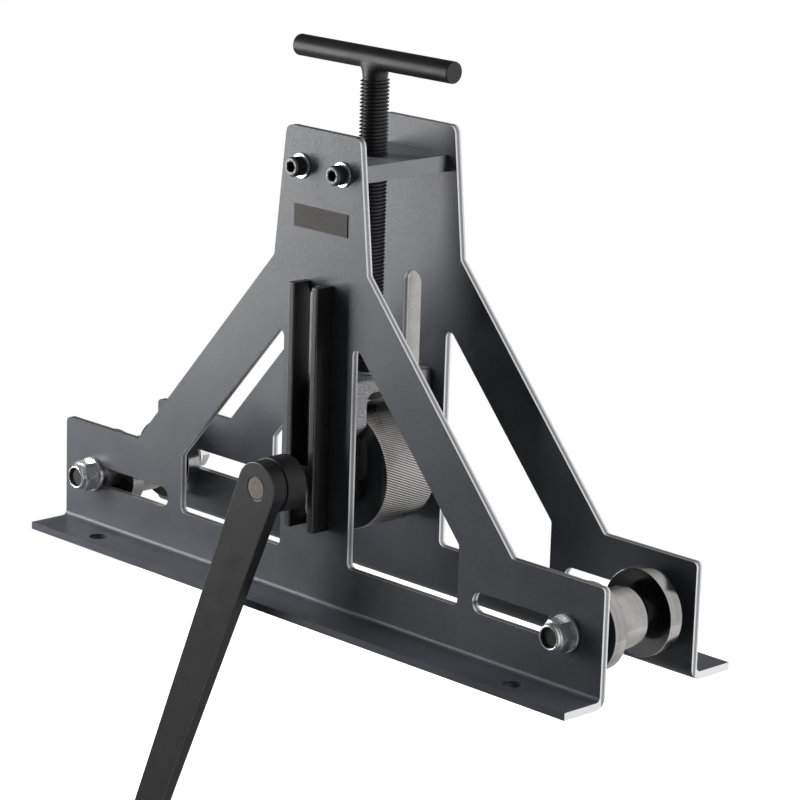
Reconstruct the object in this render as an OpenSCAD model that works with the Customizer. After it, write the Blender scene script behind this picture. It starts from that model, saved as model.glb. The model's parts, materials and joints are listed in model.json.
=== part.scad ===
// Ring roller: two flanged side plates carry a driven roller on a screw-fed yoke, and two
// lower rollers whose axles slide along slots. Lengths are in millimetres.
// X runs along the plates, the front plate faces -Y, and Z is up. The origin is the centre
// of the four base holes, on the underside.

/* [Side plates] */
// Length of the plates along X
base_len = 649; // [600:1:760]
// Width over the foot flanges of both plates, along Y
base_width = 190; // [180:1:204]
// Height of the plates
plate_h = 400; // [390:1:430]
// Sheet thickness of the plates
plate_t = 6.4; // [4:0.1:8]
// Free space between the two plates
plate_gap = 99.2; // [96:0.1:104]
// Inner radius of the bend between plate and flange
bend_r = 4; // [2:0.5:8]
// Height of the foot at both ends
foot_h = 96.8; // [88:0.1:104]
// Length of the foot at each end of a plate
foot_len = 98.1; // [90:0.1:110]
// Distance from the middle to the shoulder
shoulder_x = 55.2; // [52:0.1:62]
// Distance from a plate's top down to its shoulder
shoulder_drop = 109.8; // [90:0.1:120]
// Distance from the middle to the top corner
top_x = 43.1; // [40:0.1:50]
// Rounding of the two top corners
top_r = 7; // [2:0.5:12]
// Rounding of the foot and leg corners
foot_r = 4; // [1:0.5:8]

/* [Openings in the plates] */
// Distance from the middle to the upright edge of a window
window_in_x = 41; // [36:0.5:46]
// Distance from the foot's inner end to the outer edge of a window
window_from_foot = 57.9; // [54:0.1:76]
// Height of a window's lower edge
window_z = 44; // [36:0.5:60]
// Height where a window's outer edge meets the sloping leg
window_knee_z = 94.5; // [80:0.5:104]
// Distance from the shoulder down to a window's unrounded tip
window_tip_drop = 53.6; // [50:0.1:90]
// Rounding of the window corners
window_r = 5; // [2:0.5:8]
// Width of the slot that the drive shaft rides in
shaft_slot_w = 20.8; // [20.6:0.1:21]
// Lower end of the shaft slot
shaft_slot_z0 = 74; // [68:1:80]
// Distance from a plate's top down to the shaft slot's upper end
shaft_slot_drop = 127; // [115:1:145]
// Width of the slots that the lower axles ride in
axle_slot_w = 17.7; // [16.8:0.1:19]
// Height of the axle slots' middle line
axle_z = 52.4; // [48:0.1:58]
// Length of an axle slot
axle_slot_len = 111; // [90:1:114]
// Distance from a plate's end to the outer end of an axle slot
axle_slot_in = 28.5; // [20:0.5:30]
// Base hole diameter
base_hole_d = 16; // [10:0.5:18]
// Distance from a plate's end to its base holes
base_hole_in = 71.5; // [50:0.5:90]
// Distance from a flange's outer edge to its base holes
base_hole_edge = 17.5; // [14:0.5:20]

/* [Guide bars and name plate] */
// Width of a guide bar beside the shaft slot
bar_w = 6.6; // [5:0.1:9]
// How far a guide bar stands out of its plate
bar_out = 18.1; // [10:0.1:20]
// How far a guide bar runs past each end of the shaft slot
bar_past = 3; // [1:0.5:8]
// Rounding of a guide bar's outer edges
bar_r = 1.5; // [0.5:0.5:3]
// Length of the name plate
name_len = 63; // [40:1:80]
// Height of the name plate
name_h = 18.6; // [12:0.1:24]
// Thickness of the name plate
name_t = 0.8; // [0.4:0.1:2]
// Distance from a plate's top down to the name plate
name_drop = 63.5; // [56:0.1:72]

/* [Bridge] */
// Length of the bridge along X
bridge_len = 73.2; // [66:0.2:80]
// Thickness of the bridge
bridge_t = 14; // [12:0.5:18]
// Distance from a plate's top down to the bridge's middle
bridge_drop = 31.6; // [28:0.1:36]
// Distance from the middle to a cap screw
cap_x = 24.3; // [20:0.1:27]
// Thread diameter of the cap screws
cap_d = 10; // [6:1:10]
// Head diameter of the cap screws
cap_head_d = 16; // [14:0.5:17]
// Length of the cap screws under the head
cap_len = 30; // [20:1:34]
// Socket size of the cap screws, across flats
cap_socket = 8; // [5:1:8]
// Outer diameter of the washers under the cap screws
cap_washer_d = 20.5; // [17:0.5:22]
// Thickness of those washers
cap_washer_t = 2; // [1:0.5:3]

/* [Feed screw] */
// Outer diameter of the screw thread
screw_d = 24; // [20:1:26]
// Thread pitch, the feed per turn
pitch = 3; // [2:0.5:4]
// Height where the thread starts, over the thrust collar
thread_z0 = 206; // [204:0.5:214]
// Length of the plain neck between thread and handle
neck_len = 7.5; // [6:0.5:20]
// Diameter of the plain journal in the yoke
journal_d = 16; // [12:0.5:18]
// Height of the handle bar's axis over the plates' top
handle_over = 54; // [50:0.5:70]
// Length of the handle bar
handle_len = 180; // [140:1:240]
// Diameter of the handle bar
handle_d = 18; // [16:0.5:22]
// Edge rounding of the handle bar
handle_edge = 1; // [0.5:0.5:3]
// Diameter of the thrust collar on top of the yoke
thrust_d = 34; // [28:1:44]
// Diameter of the bright washer under the thrust collar
thrust_washer_d = 38; // [30:1:48]
// Thickness of that washer
thrust_washer_t = 2; // [1:0.5:3]
// Diameter of the collar that locks the screw below the yoke's top
lock_d = 28; // [26:0.5:34]
// Height of the lock collar
lock_h = 10; // [8:0.5:10]
// Diameter of the lock collar's pin
lock_pin_d = 4; // [3:0.5:5]

/* [Yoke] */
// Width of the yoke along X
yoke_w = 53; // [48:0.5:60]
// Height of the yoke's top face
yoke_top_z = 195; // [193:0.5:197]
// Thickness of the yoke's cross piece
yoke_cross_t = 12; // [10:0.5:12]
// Width of the cheeks round the shaft
cheek_w = 27.6; // [26:0.1:30]
// Height where the cheeks start to narrow
cheek_taper_z = 155.3; // [150:0.1:160]
// Thickness of the front cheek
front_cheek_t = 25.5; // [22:0.1:28]
// Rounding inside the yoke's upper corners
yoke_inner_r = 7; // [3:0.5:10]
// Rounding of the yoke's upper outer edges
yoke_edge_r = 2; // [1:0.5:4]
// Wall of the shaft bushes
bush_wall = 1.45; // [1:0.05:2]

/* [Drive] */
// Height of the shaft's axis
shaft_z = 114.4; // [112:0.1:118]
// Diameter of the drive shaft
shaft_d = 20; // [19.5:0.1:20.3]
// How far the shaft runs past the rear plate's guide bars
shaft_past_bars = 14; // [13:0.5:20]
// Diameter of the drive roller
drive_d = 102; // [90:0.5:104]
// Width of the drive roller
drive_w = 56.7; // [50:0.1:58]
// Edge chamfer of the drive roller
drive_chamfer = 1; // [0.5:0.1:2]
// Width and height of the square keys
key_w = 6; // [5:0.5:6]
// Depth of the key seats in the shaft
key_seat = 3.5; // [3:0.1:4]
// Length of the drive roller's key
roller_key_len = 40; // [20:1:48]
// Length of the hub's key
hub_key_len = 18; // [10:1:20]
// Diameter of the collar at the shaft's rear end
rear_collar_d = 36; // [30:1:44]
// Width of that collar
rear_collar_w = 10; // [8:0.5:12]
// Thread diameter of its set screw
set_screw_d = 6; // [4:1:6]

/* [Crank] */
// Diameter of the crank hub
hub_d = 46; // [40:0.5:50]
// Length of the crank hub
hub_len = 24; // [20:0.5:25]
// Gap between the hub and the front guide bars
hub_gap = 11.4; // [2:0.1:16]
// Thickness of the crank arm
arm_t = 11.2; // [8:0.1:14]
// Crank length, from shaft axis to grip axis
arm_len = 380; // [340:1:450]
// Width of the arm's round end at the shaft
arm_w = 43.5; // [38:0.5:48]
// Width of the arm's round end at the grip
arm_tip_w = 28; // [24:0.5:34]
// Angle of the hanging arm from straight down, towards -X
arm_angle = 23; // [0:0.5:60]
// Diameter of the grip at its middle
grip_d = 33; // [30:0.5:40]
// Diameter of the grip at its ends
grip_end_d = 28; // [27:0.5:30]
// Length of the grip
grip_len = 110; // [80:1:130]
// Thread diameter of the grip bolt
grip_bolt_d = 12; // [10:1:12]

/* [Lower rollers] */
// Diameter of the flange discs
disc_d = 71; // [64:0.5:72]
// Width of the flange discs
disc_w = 13.4; // [10:0.1:14]
// Diameter of the core rollers
core_d = 49.4; // [40:0.1:52]
// Width of the core rollers
core_w = 35.4; // [30:0.1:37]
// Diameter of the neck behind the core
neck_d = 23.2; // [23:0.1:26]
// Length of the neck behind the core
neck_w = 13.9; // [10:0.1:14]
// Length of the ring between the front plate and the front disc
front_ring_w = 10.1; // [8:0.1:11]
// Diameter of the rings beside the discs
ring_d = 28; // [24:0.5:32]
// Thread diameter of the axle bolts
axle_d = 16; // [14:0.5:16]
// Outer diameter of the tube round each axle bolt
tube_d = 20; // [19.5:0.1:20.5]
// Outer diameter of the core's bush
core_bush_d = 25; // [23:0.5:27]
// Length of the core's bush
core_bush_len = 30; // [20:0.5:34]
// Hexagon of the axle bolt's head and nut, across flats
axle_hex = 24; // [22:0.5:24]
// Height of the axle bolt's head
axle_head_h = 10; // [8:0.5:12]
// Height of the hexagon of the lock nut
nut_hex_h = 12.5; // [10:0.5:14]
// Height of the lock nut's round collar
nut_collar_h = 4.5; // [3:0.5:6]
// Diameter of the lock nut's round collar
nut_collar_d = 21.5; // [20:0.5:22]
// Outer diameter of the axle washers
axle_washer_d = 30; // [28:0.5:34]
// Thickness of the axle washers
axle_washer_t = 3; // [2:0.5:4]

/* [Fits] */
// Radial clearance of a shaft that turns in a bore
run_fit = 0.05; // [0.02:0.01:0.1]
// Gap between faces that slide or turn past each other
face_gap = 0.3; // [0.2:0.05:0.5]
// Gap between the yoke and each plate, and between roller and cheek
yoke_gap = 0.5; // [0.3:0.05:0.8]

/* [Hidden] */
$fn = 96;
// Steps in each rounded corner of an outline
corner_steps = 5;
// Steps in each round end of the crank arm
arm_steps = 32;
// Angle of a half turn
half_turn = 180;
// Overrun of every cut past the surface that it opens
over = 1;

plate_in = plate_gap / 2;
plate_out = plate_in + plate_t;
bend_out_r = bend_r + plate_t;
flange_y = base_width / 2;
base_half = base_len / 2;
base_hole_x = base_half - base_hole_in;
base_hole_y = flange_y - base_hole_edge;
leg_x = base_half - foot_len;
shoulder_z = plate_h - shoulder_drop;
window_out_x = leg_x - window_from_foot;
window_tip_z = shoulder_z - window_tip_drop;
axle_slot_x1 = base_half - axle_slot_in;
axle_slot_x0 = axle_slot_x1 - axle_slot_len;
shaft_slot_z1 = plate_h - shaft_slot_drop;
name_z = plate_h - name_drop - name_h;
bridge_z = plate_h - bridge_drop;
bar_face_y = plate_out + bar_out;
bar_z0 = shaft_slot_z0 - bar_past;
bar_len = shaft_slot_z1 - shaft_slot_z0 + 2 * bar_past;

// Metric thread form: height, crest and root as shares of the pitch
thread_height_share = 0.6134;
thread_crest_share = 0.125;
thread_root_share = 0.25;
handle_z = plate_h + handle_over;
neck_top_z = handle_z - handle_d / 2;
thread_count = floor((neck_top_z - neck_len - thread_z0) / pitch);
thread_end_z = thread_z0 + thread_count * pitch;
screw_minor_r = screw_d / 2 - thread_height_share * pitch;
journal_r = journal_d / 2;
// The screw ends in a spigot inside the handle bar
spigot_share = 0.75;
spigot_r = spigot_share * handle_d / 2;
spigot_top_z = handle_z + handle_d / 4;
// The fillet between screw and handle bar, as shares of the bar's diameter
flare_r_shares = [0.58, 0.6, 0.68, 0.69, 0.6, 0.4];
flare_z_shares = [-0.86, -0.72, -0.5, -0.3, -0.1, 0];
thrust_washer_z = yoke_top_z + face_gap;
thrust_collar_z = thrust_washer_z + thrust_washer_t;
lock_top_z = yoke_top_z - yoke_cross_t - face_gap;
lock_z = lock_top_z - lock_h / 2;
journal_end_z = lock_top_z - lock_h - face_gap;

yoke_y = plate_in - yoke_gap;
cheek_y0 = -yoke_y + front_cheek_t;
drive_y0 = cheek_y0 + yoke_gap;
drive_y1 = drive_y0 + drive_w;
cheek_y1 = drive_y1 + yoke_gap;
bush_bore_r = shaft_d / 2 + run_fit;
bush_r = bush_bore_r + bush_wall;

hub_y1 = -bar_face_y - hub_gap;
hub_y0 = hub_y1 - hub_len;
arm_y0 = hub_y0 - arm_t;
// The hub steps down where it is joined to the arm, as shares of its size
hub_step_share = 0.15;
hub_step_r_share = 0.94;
shaft_y1 = bar_face_y + shaft_past_bars;
rear_collar_y0 = bar_face_y + face_gap + face_gap;
key_top = shaft_d / 2 - key_seat + key_w;
key_seat_over = 0.1;

// The grip turns on a bolt that passes through the arm's end
grip_bolt_r = grip_bolt_d / 2;
grip_washer_t = 2;
grip_y1 = arm_y0 - grip_washer_t - face_gap;
grip_y0 = grip_y1 - grip_len;
grip_hex = 1.5 * grip_bolt_d;
grip_head_h = 7.5;
grip_recess_r = grip_hex / sqrt(3) + face_gap + face_gap;
grip_nut_h = 8;
grip_round = 3;
grip_x = -arm_len * sin(arm_angle);
grip_z = shaft_z - arm_len * cos(arm_angle);

// The lower rollers' stack along Y, from the front plate to the rear plate
axle_x = axle_slot_x1 - axle_slot_w / 2;
tube_y0 = -plate_in + face_gap;
front_disc_y = tube_y0 + front_ring_w + face_gap;
core_y = front_disc_y + disc_w + face_gap;
rear_disc_y = core_y + core_w + neck_w + face_gap;
rear_ring_y = rear_disc_y + disc_w + face_gap;
tube_bore_r = axle_d / 2 + run_fit;
ride_r = tube_d / 2 + run_fit;
axle_washer_y = plate_out + face_gap;
axle_head_y = axle_washer_y + axle_washer_t;
// The bolt's tip lies inside the lock nut's collar
tip_inside = 2.5;
disc_chamfer = 0.8;

// Unit vector from one point towards another
function towards(from, to) = (to - from) / norm(to - from);

// Points of a fillet of radius r at corner p, between its neighbours a and b
function fillet(a, p, b, r) =
    let (
        u = towards(p, a),
        v = towards(p, b),
        half = acos(u * v) / 2,
        centre = p + towards([0, 0], u + v) * r / sin(half),
        s = p + u * r / tan(half) - centre,
        e = p + v * r / tan(half) - centre,
        turn = (half_turn - 2 * half) * sign(s.x * e.y - s.y * e.x)
    )
    [for (i = [0 : corner_steps])
        let (t = turn * i / corner_steps)
        centre + [s.x * cos(t) - s.y * sin(t), s.x * sin(t) + s.y * cos(t)]];

// Outline whose corners are rounded by the radii, where a radius of zero keeps a corner
function rounded(pts, radii) =
    let (n = len(pts))
    [for (i = [0 : n - 1])
        each radii[i] > 0
            ? fillet(pts[(i + n - 1) % n], pts[i], pts[(i + 1) % n], radii[i])
            : [pts[i]]];

// Right half of an outline, given from bottom to top, and its mirror image
function both_halves(pts) =
    concat(pts, [for (i = [len(pts) - 1 : -1 : 0]) [-pts[i].x, pts[i].y]]);

// A drawing in X and Z, made solid from y0 to y1
module upright(y0, y1) {
    translate([0, y1, 0]) rotate([90, 0, 0]) linear_extrude(y1 - y0) children();
}

// A cylinder along Y
module rod_y(r, y0, y1) {
    translate([0, y1, 0]) rotate([90, 0, 0]) cylinder(r = r, h = y1 - y0);
}

// A ring along Y
module ring_y(r, bore_r, y0, y1) {
    difference() {
        rod_y(r, y0, y1);
        rod_y(bore_r, y0 - over, y1 + over);
    }
}

// A hexagonal prism along Y, with its size across flats
module hex_y(flats, y0, y1) {
    translate([0, y1, 0]) rotate([90, 0, 0]) cylinder(r = flats / sqrt(3), h = y1 - y0, $fn = 6);
}

// A turned piece round the Y axis, drawn as radius and place along Y
module turned_y(pts) {
    rotate([-90, 0, 0]) rotate_extrude() polygon(pts);
}

// Profile of a disc with chamfered edges
function chamfered(r, y0, y1, c) =
    [[0, y0], [r - c, y0], [r, y0 + c], [r, y1 - c], [r - c, y1], [0, y1]];

module slot_shape(from, to, w) {
    run = to - from;
    translate(from) circle(d = w);
    translate(to) circle(d = w);
    translate(from) rotate(atan2(run.y, run.x)) translate([0, -w / 2]) square([norm(run), w]);
}

// Web of a plate without its openings
module plate_outline() {
    right = [
        [base_half, bend_out_r], [base_half, foot_h], [leg_x, foot_h],
        [shoulder_x, shoulder_z], [top_x, plate_h]
    ];
    radii = [0, foot_r, foot_r, foot_r, top_r];
    polygon(rounded(both_halves(right), concat(radii, [top_r, foot_r, foot_r, foot_r, 0])));
}

module window_shape() {
    corners = [
        [window_in_x, window_z], [window_out_x, window_z],
        [window_out_x, window_knee_z], [window_in_x, window_tip_z]
    ];
    polygon(rounded(corners, [for (c = corners) window_r]));
}

// Bend and flange of a plate, drawn in Y and Z
module foot_section() {
    intersection() {
        translate([plate_in + bend_out_r, bend_out_r]) difference() {
            circle(r = bend_out_r);
            circle(r = bend_r);
        }
        translate([plate_in, 0]) square(bend_out_r);
    }
    translate([plate_in + bend_out_r, 0]) square([flange_y - plate_in - bend_out_r, plate_t]);
}

// The rear plate; the front plate is its mirror image
module plate() {
    difference() {
        union() {
            upright(plate_in, plate_out) plate_outline();
            rotate([90, 0, 90]) linear_extrude(base_len, center = true) foot_section();
        }
        upright(plate_in - over, plate_out + over) {
            window_shape();
            mirror([1, 0]) window_shape();
            slot_shape(
                [0, shaft_slot_z0 + shaft_slot_w / 2], [0, shaft_slot_z1 - shaft_slot_w / 2],
                shaft_slot_w
            );
            for (side = [-1, 1])
                slot_shape(
                    [side * (axle_slot_x0 + axle_slot_w / 2), axle_z], [side * axle_x, axle_z],
                    axle_slot_w
                );
        }
        for (side = [-1, 1]) {
            translate([side * cap_x, 0, bridge_z])
                rod_y(cap_d / 2 + face_gap, plate_in - over, plate_out + over);
            translate([side * base_hole_x, base_hole_y, -over])
                cylinder(d = base_hole_d, h = plate_t + 2 * over);
        }
    }
}

module front_plate() {
    color("dimgray") mirror([0, 1, 0]) plate();
}

module rear_plate() {
    color("dimgray") plate();
}

// The bridge ties the plates together and is the nut of the feed screw
module bridge_block() {
    color("gray") difference() {
        translate([-bridge_len / 2, -plate_in, bridge_z - bridge_t / 2])
            cube([bridge_len, plate_gap, bridge_t]);
        translate([0, 0, bridge_z - bridge_t / 2 - over])
            cylinder(r = screw_d / 2 + run_fit, h = bridge_t + 2 * over);
        hole_end = cap_start() - cap_len - over;
        for (side = [-1, 1], end = [[-plate_in - over, -hole_end], [hole_end, plate_in + over]])
            translate([side * cap_x, 0, bridge_z]) rod_y(cap_d / 2 + run_fit, end[0], end[1]);
    }
}

// Place along Y of the face under a cap screw's head
function cap_start() = plate_out + cap_washer_t;

// The four places of the cap screws, each seen from outside its plate
module at_cap_screws() {
    for (side = [-1, 1], turn = [0, 180])
        rotate(turn) translate([side * cap_x, 0, bridge_z]) children();
}

module bridge_screws() {
    head_h = cap_d;
    color([0.12, 0.12, 0.13]) at_cap_screws() difference() {
        union() {
            rod_y(cap_head_d / 2, cap_start(), cap_start() + head_h);
            rod_y(cap_d / 2, cap_start() - cap_len, cap_start() + over);
        }
        hex_y(cap_socket, cap_start() + head_h / 2, cap_start() + head_h + over);
    }
}

module bridge_washers() {
    color("silver") at_cap_screws()
        ring_y(cap_washer_d / 2, cap_d / 2 + face_gap, plate_out, cap_start());
}

module name_plate() {
    color([0.25, 0.22, 0.2])
        translate([-name_len / 2, -plate_out - name_t, name_z]) cube([name_len, name_t, name_h]);
}

// A guide bar to the right of the slot in the front plate
module guide_bar() {
    x0 = shaft_slot_w / 2;
    corners = [
        [x0, -plate_out], [x0, -bar_face_y],
        [x0 + bar_w, -bar_face_y], [x0 + bar_w, -plate_out]
    ];
    color([0.1, 0.1, 0.11]) translate([0, 0, bar_z0])
        linear_extrude(bar_len) polygon(rounded(corners, [0, bar_r, bar_r, 0]));
}

module front_left_guide_bar() {
    mirror([1, 0, 0]) guide_bar();
}

module front_right_guide_bar() {
    guide_bar();
}

module rear_left_guide_bar() {
    rotate(180) guide_bar();
}

module rear_right_guide_bar() {
    mirror([0, 1, 0]) guide_bar();
}

// The screw's threads are rings of the metric form, and its feed per turn is the pitch
module lead_screw() {
    root = thread_root_share * pitch;
    flank = (1 - thread_root_share - thread_crest_share) / 2 * pitch;
    threads = [
        for (i = [0 : thread_count - 1])
            let (z = thread_z0 + i * pitch + root / 2)
            each [
                [screw_minor_r, z], [screw_d / 2, z + flank],
                [screw_d / 2, z + pitch - root - flank], [screw_minor_r, z + pitch - root]
            ]
    ];
    color([0.13, 0.13, 0.14]) difference() {
        rotate_extrude() polygon(concat(
            [[0, journal_end_z], [journal_r, journal_end_z], [journal_r, thread_z0]],
            [[screw_minor_r, thread_z0]], threads, [[screw_minor_r, thread_end_z]],
            [[screw_minor_r, neck_top_z], [spigot_r, neck_top_z]],
            [[spigot_r, spigot_top_z], [0, spigot_top_z]]
        ));
        translate([0, 0, lock_z]) rotate([0, 90, 0])
            cylinder(d = lock_pin_d, h = lock_d + 2 * over, center = true);
    }
}

// The bar and the fillet that joins it to the screw
module t_handle() {
    r = handle_d / 2;
    half = handle_len / 2;
    end = [[0, -half], [r, -half], [r, half], [0, half]];
    flare = [for (i = [0 : len(flare_r_shares) - 1])
        [flare_r_shares[i], flare_z_shares[i]] * handle_d + [0, handle_z]];
    color([0.13, 0.13, 0.14]) difference() {
        union() {
            rotate([0, 90, 0]) translate([-handle_z, 0, 0])
                rotate_extrude() polygon(rounded(end, [0, handle_edge, handle_edge, 0]));
            rotate_extrude() polygon(concat([[0, flare[0].y]], flare, [[0, handle_z]]));
        }
        translate([0, 0, thread_end_z]) cylinder(r = screw_minor_r, h = neck_top_z - thread_end_z);
        translate([0, 0, thread_end_z]) cylinder(r = spigot_r, h = spigot_top_z - thread_end_z);
    }
}

module thrust_collar() {
    color([0.1, 0.1, 0.11]) translate([0, 0, thrust_collar_z]) difference() {
        cylinder(d = thrust_d, h = thread_z0 - thrust_collar_z);
        translate([0, 0, -over]) cylinder(r = journal_r, h = thread_z0 - thrust_collar_z + 2 * over);
    }
}

module thrust_washer() {
    color("silver") translate([0, 0, thrust_washer_z]) difference() {
        cylinder(d = thrust_washer_d, h = thrust_washer_t);
        translate([0, 0, -over]) cylinder(r = journal_r, h = thrust_washer_t + 2 * over);
    }
}

module lock_collar() {
    color([0.1, 0.1, 0.11]) translate([0, 0, lock_z]) difference() {
        cylinder(d = lock_d, h = lock_h, center = true);
        cylinder(r = journal_r, h = lock_h + 2 * over, center = true);
        rotate([0, 90, 0]) cylinder(d = lock_pin_d, h = lock_d + 2 * over, center = true);
    }
}

module lock_pin() {
    color("silver") translate([0, 0, lock_z]) rotate([0, 90, 0])
        cylinder(d = lock_pin_d, h = lock_d - over, center = true);
}

// An upside-down U that holds the drive shaft and hangs on the feed screw
module yoke() {
    stem_r = cheek_w / 2;
    half = yoke_w / 2;
    taper_end_z = cheek_taper_z - (half - stem_r);
    sides = [[stem_r, shaft_z], [stem_r, taper_end_z], [half, cheek_taper_z], [half, yoke_top_z]];
    radii = [0, yoke_edge_r, yoke_edge_r, yoke_edge_r, yoke_edge_r, yoke_edge_r, yoke_edge_r, 0];
    cross_z = yoke_top_z - yoke_cross_t;
    low_z = shaft_z - stem_r - over;
    room = [[cheek_y0, low_z], [cheek_y1, low_z], [cheek_y1, cross_z], [cheek_y0, cross_z]];
    color([0.45, 0.45, 0.46]) difference() {
        upright(-yoke_y, yoke_y) {
            polygon(rounded(both_halves(sides), radii));
            translate([0, shaft_z]) circle(r = stem_r);
        }
        rotate([90, 0, 90]) linear_extrude(yoke_w + 2 * over, center = true)
            polygon(rounded(room, [0, 0, yoke_inner_r, yoke_inner_r]));
        translate([0, 0, cross_z - over])
            cylinder(r = journal_r + run_fit, h = yoke_cross_t + 2 * over);
        at_shaft() rod_y(bush_r, -yoke_y - over, yoke_y + over);
    }
}

// Moves a piece drawn round the Y axis to the drive shaft
module at_shaft() {
    translate([0, 0, shaft_z]) children();
}

module front_shaft_bush() {
    color("goldenrod") at_shaft() ring_y(bush_r, bush_bore_r, -yoke_y, cheek_y0);
}

module rear_shaft_bush() {
    color("goldenrod") at_shaft() ring_y(bush_r, bush_bore_r, cheek_y1, yoke_y);
}

// Place along Y where each key starts
function roller_key_y() = (drive_y0 + drive_y1 - roller_key_len) / 2;
function hub_key_y() = (hub_y0 + hub_y1 - hub_key_len) / 2;

// Room for a key in the shaft, or in the piece that it drives
module key_room(y0, y1, height) {
    translate([-key_w / 2, y0, shaft_d / 2 - key_seat])
        cube([key_w, y1 - y0, height]);
}

module drive_shaft() {
    color([0.5, 0.48, 0.46]) at_shaft() difference() {
        rod_y(shaft_d / 2, arm_y0, shaft_y1);
        key_room(roller_key_y(), roller_key_y() + roller_key_len, key_w);
        key_room(hub_key_y(), hub_key_y() + hub_key_len, key_w);
    }
}

module drive_roller() {
    color("silver") at_shaft() difference() {
        turned_y(chamfered(drive_d / 2, drive_y0, drive_y1, drive_chamfer));
        rod_y(shaft_d / 2, drive_y0 - over, drive_y1 + over);
        key_room(drive_y0 - over, drive_y1 + over, key_w + key_seat_over);
    }
}

module roller_key() {
    color("gray") at_shaft()
        key_room(roller_key_y(), roller_key_y() + roller_key_len, key_w);
}

// The hub, with a narrower step beside the arm
module crank_hub() {
    step_y = hub_y0 + hub_step_share * hub_len;
    step_r = hub_step_r_share * hub_d / 2;
    color([0.12, 0.12, 0.13]) at_shaft() difference() {
        union() {
            turned_y(chamfered(hub_d / 2, step_y, hub_y1, disc_chamfer));
            rod_y(step_r, hub_y0, step_y + over);
        }
        rod_y(shaft_d / 2, hub_y0 - over, hub_y1 + over);
        key_room(hub_key_y(), hub_y1 + over, key_w + key_seat_over);
    }
}

module hub_key() {
    color("gray") at_shaft() key_room(hub_key_y(), hub_key_y() + hub_key_len, key_w);
}

// Outline of the arm hanging straight down from the shaft: two round ends and their tangents
module arm_shape() {
    r0 = arm_w / 2;
    r1 = arm_tip_w / 2;
    lean = asin((r0 - r1) / arm_len);
    polygon(concat(
        [for (i = [0 : arm_steps]) let (t = -lean + (half_turn + 2 * lean) * i / arm_steps)
            r0 * [cos(t), sin(t)]],
        [for (i = [0 : arm_steps]) let (t = half_turn + lean + (half_turn - 2 * lean) * i / arm_steps)
            r1 * [cos(t), sin(t)] - [0, arm_len]]
    ));
}

module crank_arm() {
    color([0.18, 0.18, 0.19]) difference() {
        at_shaft() upright(arm_y0, hub_y0) rotate(-arm_angle) arm_shape();
        at_shaft() rod_y(shaft_d / 2, arm_y0 - over, hub_y0 + over);
        at_grip() rod_y(grip_bolt_r, arm_y0 - over, hub_y0 + over);
    }
}

module rear_collar() {
    y1 = rear_collar_y0 + rear_collar_w;
    color([0.12, 0.12, 0.13]) at_shaft() difference() {
        ring_y(rear_collar_d / 2, shaft_d / 2, rear_collar_y0, y1);
        translate([0, (rear_collar_y0 + y1) / 2, 0])
            cylinder(d = set_screw_d, h = rear_collar_d / 2 + over);
    }
}

module collar_set_screw() {
    tip = shaft_d / 2;
    flats = set_screw_d / 2;
    color("dimgray") at_shaft() translate([0, rear_collar_y0 + rear_collar_w / 2, 0])
        difference() {
            translate([0, 0, tip]) cylinder(d = set_screw_d, h = rear_collar_d / 2 - tip);
            translate([0, 0, (rear_collar_d / 2 + tip) / 2])
                cylinder(r = flats / sqrt(3), h = rear_collar_d / 2, $fn = 6);
        }
}

// Moves a piece drawn round the Y axis to the grip's axis
module at_grip() {
    translate([grip_x, 0, grip_z]) children();
}

module grip_washer() {
    color("silver") at_grip()
        ring_y(arm_tip_w / 2, grip_bolt_r, arm_y0 - grip_washer_t, arm_y0);
}

module grip_nut() {
    color("silver") at_grip() difference() {
        hex_y(grip_hex, hub_y0, hub_y0 + grip_nut_h);
        rod_y(grip_bolt_r, hub_y0 - over, hub_y0 + grip_nut_h + over);
    }
}

module grip_bolt() {
    head_y = grip_y0 + grip_head_h;
    color("silver") at_grip() {
        hex_y(grip_hex, head_y - grip_head_h, head_y);
        rod_y(grip_bolt_r, head_y - over, hub_y0 + grip_nut_h + over);
    }
}

// A barrel-shaped grip with a recess for the bolt's head
module grip() {
    mid = (grip_y0 + grip_y1) / 2;
    profile = [
        [0, grip_y0], [grip_end_d / 2, grip_y0], [grip_d / 2, mid], [grip_end_d / 2, grip_y1],
        [0, grip_y1]
    ];
    bend = grip_len / 2;
    color([0.1, 0.1, 0.1]) at_grip() difference() {
        turned_y(rounded(profile, [0, grip_round, bend, grip_round, 0]));
        rod_y(grip_bolt_r + run_fit, grip_y0 - over, grip_y1 + over);
        rod_y(grip_recess_r, grip_y0 - over, grip_y0 + grip_head_h + face_gap);
    }
}

// Moves a piece drawn round the Y axis to a lower axle, -1 the left and 1 the right
module at_axle(side) {
    translate([side * axle_x, 0, axle_z]) children();
}

module axle_bolt(side) {
    color("silver") at_axle(side) {
        hex_y(axle_hex, axle_head_y, axle_head_y + axle_head_h);
        rod_y(axle_d / 2, -axle_head_y - nut_hex_h - nut_collar_h + tip_inside, axle_head_y + over);
    }
}

// A lock nut: a hexagon and a round collar
module axle_nut(side) {
    hex_end = -axle_head_y - nut_hex_h;
    color("silver") at_axle(side) difference() {
        union() {
            hex_y(axle_hex, hex_end, -axle_head_y);
            rod_y(nut_collar_d / 2, hex_end - nut_collar_h, hex_end + over);
        }
        rod_y(axle_d / 2, hex_end - nut_collar_h - over, -axle_head_y + over);
    }
}

module axle_washers(side) {
    color("silver") at_axle(side) for (turn = [0, 180])
        rotate(turn) ring_y(axle_washer_d / 2, axle_d / 2, axle_washer_y, axle_head_y);
}

// The tube keeps the plates apart when the nut is tight, and the rollers turn on it
module axle_tube(side) {
    color("gray") at_axle(side) ring_y(tube_d / 2, tube_bore_r, tube_y0, -tube_y0);
}

module front_ring(side) {
    color("dimgray") at_axle(side)
        ring_y(ring_d / 2, tube_d / 2, tube_y0, tube_y0 + front_ring_w);
}

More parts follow.
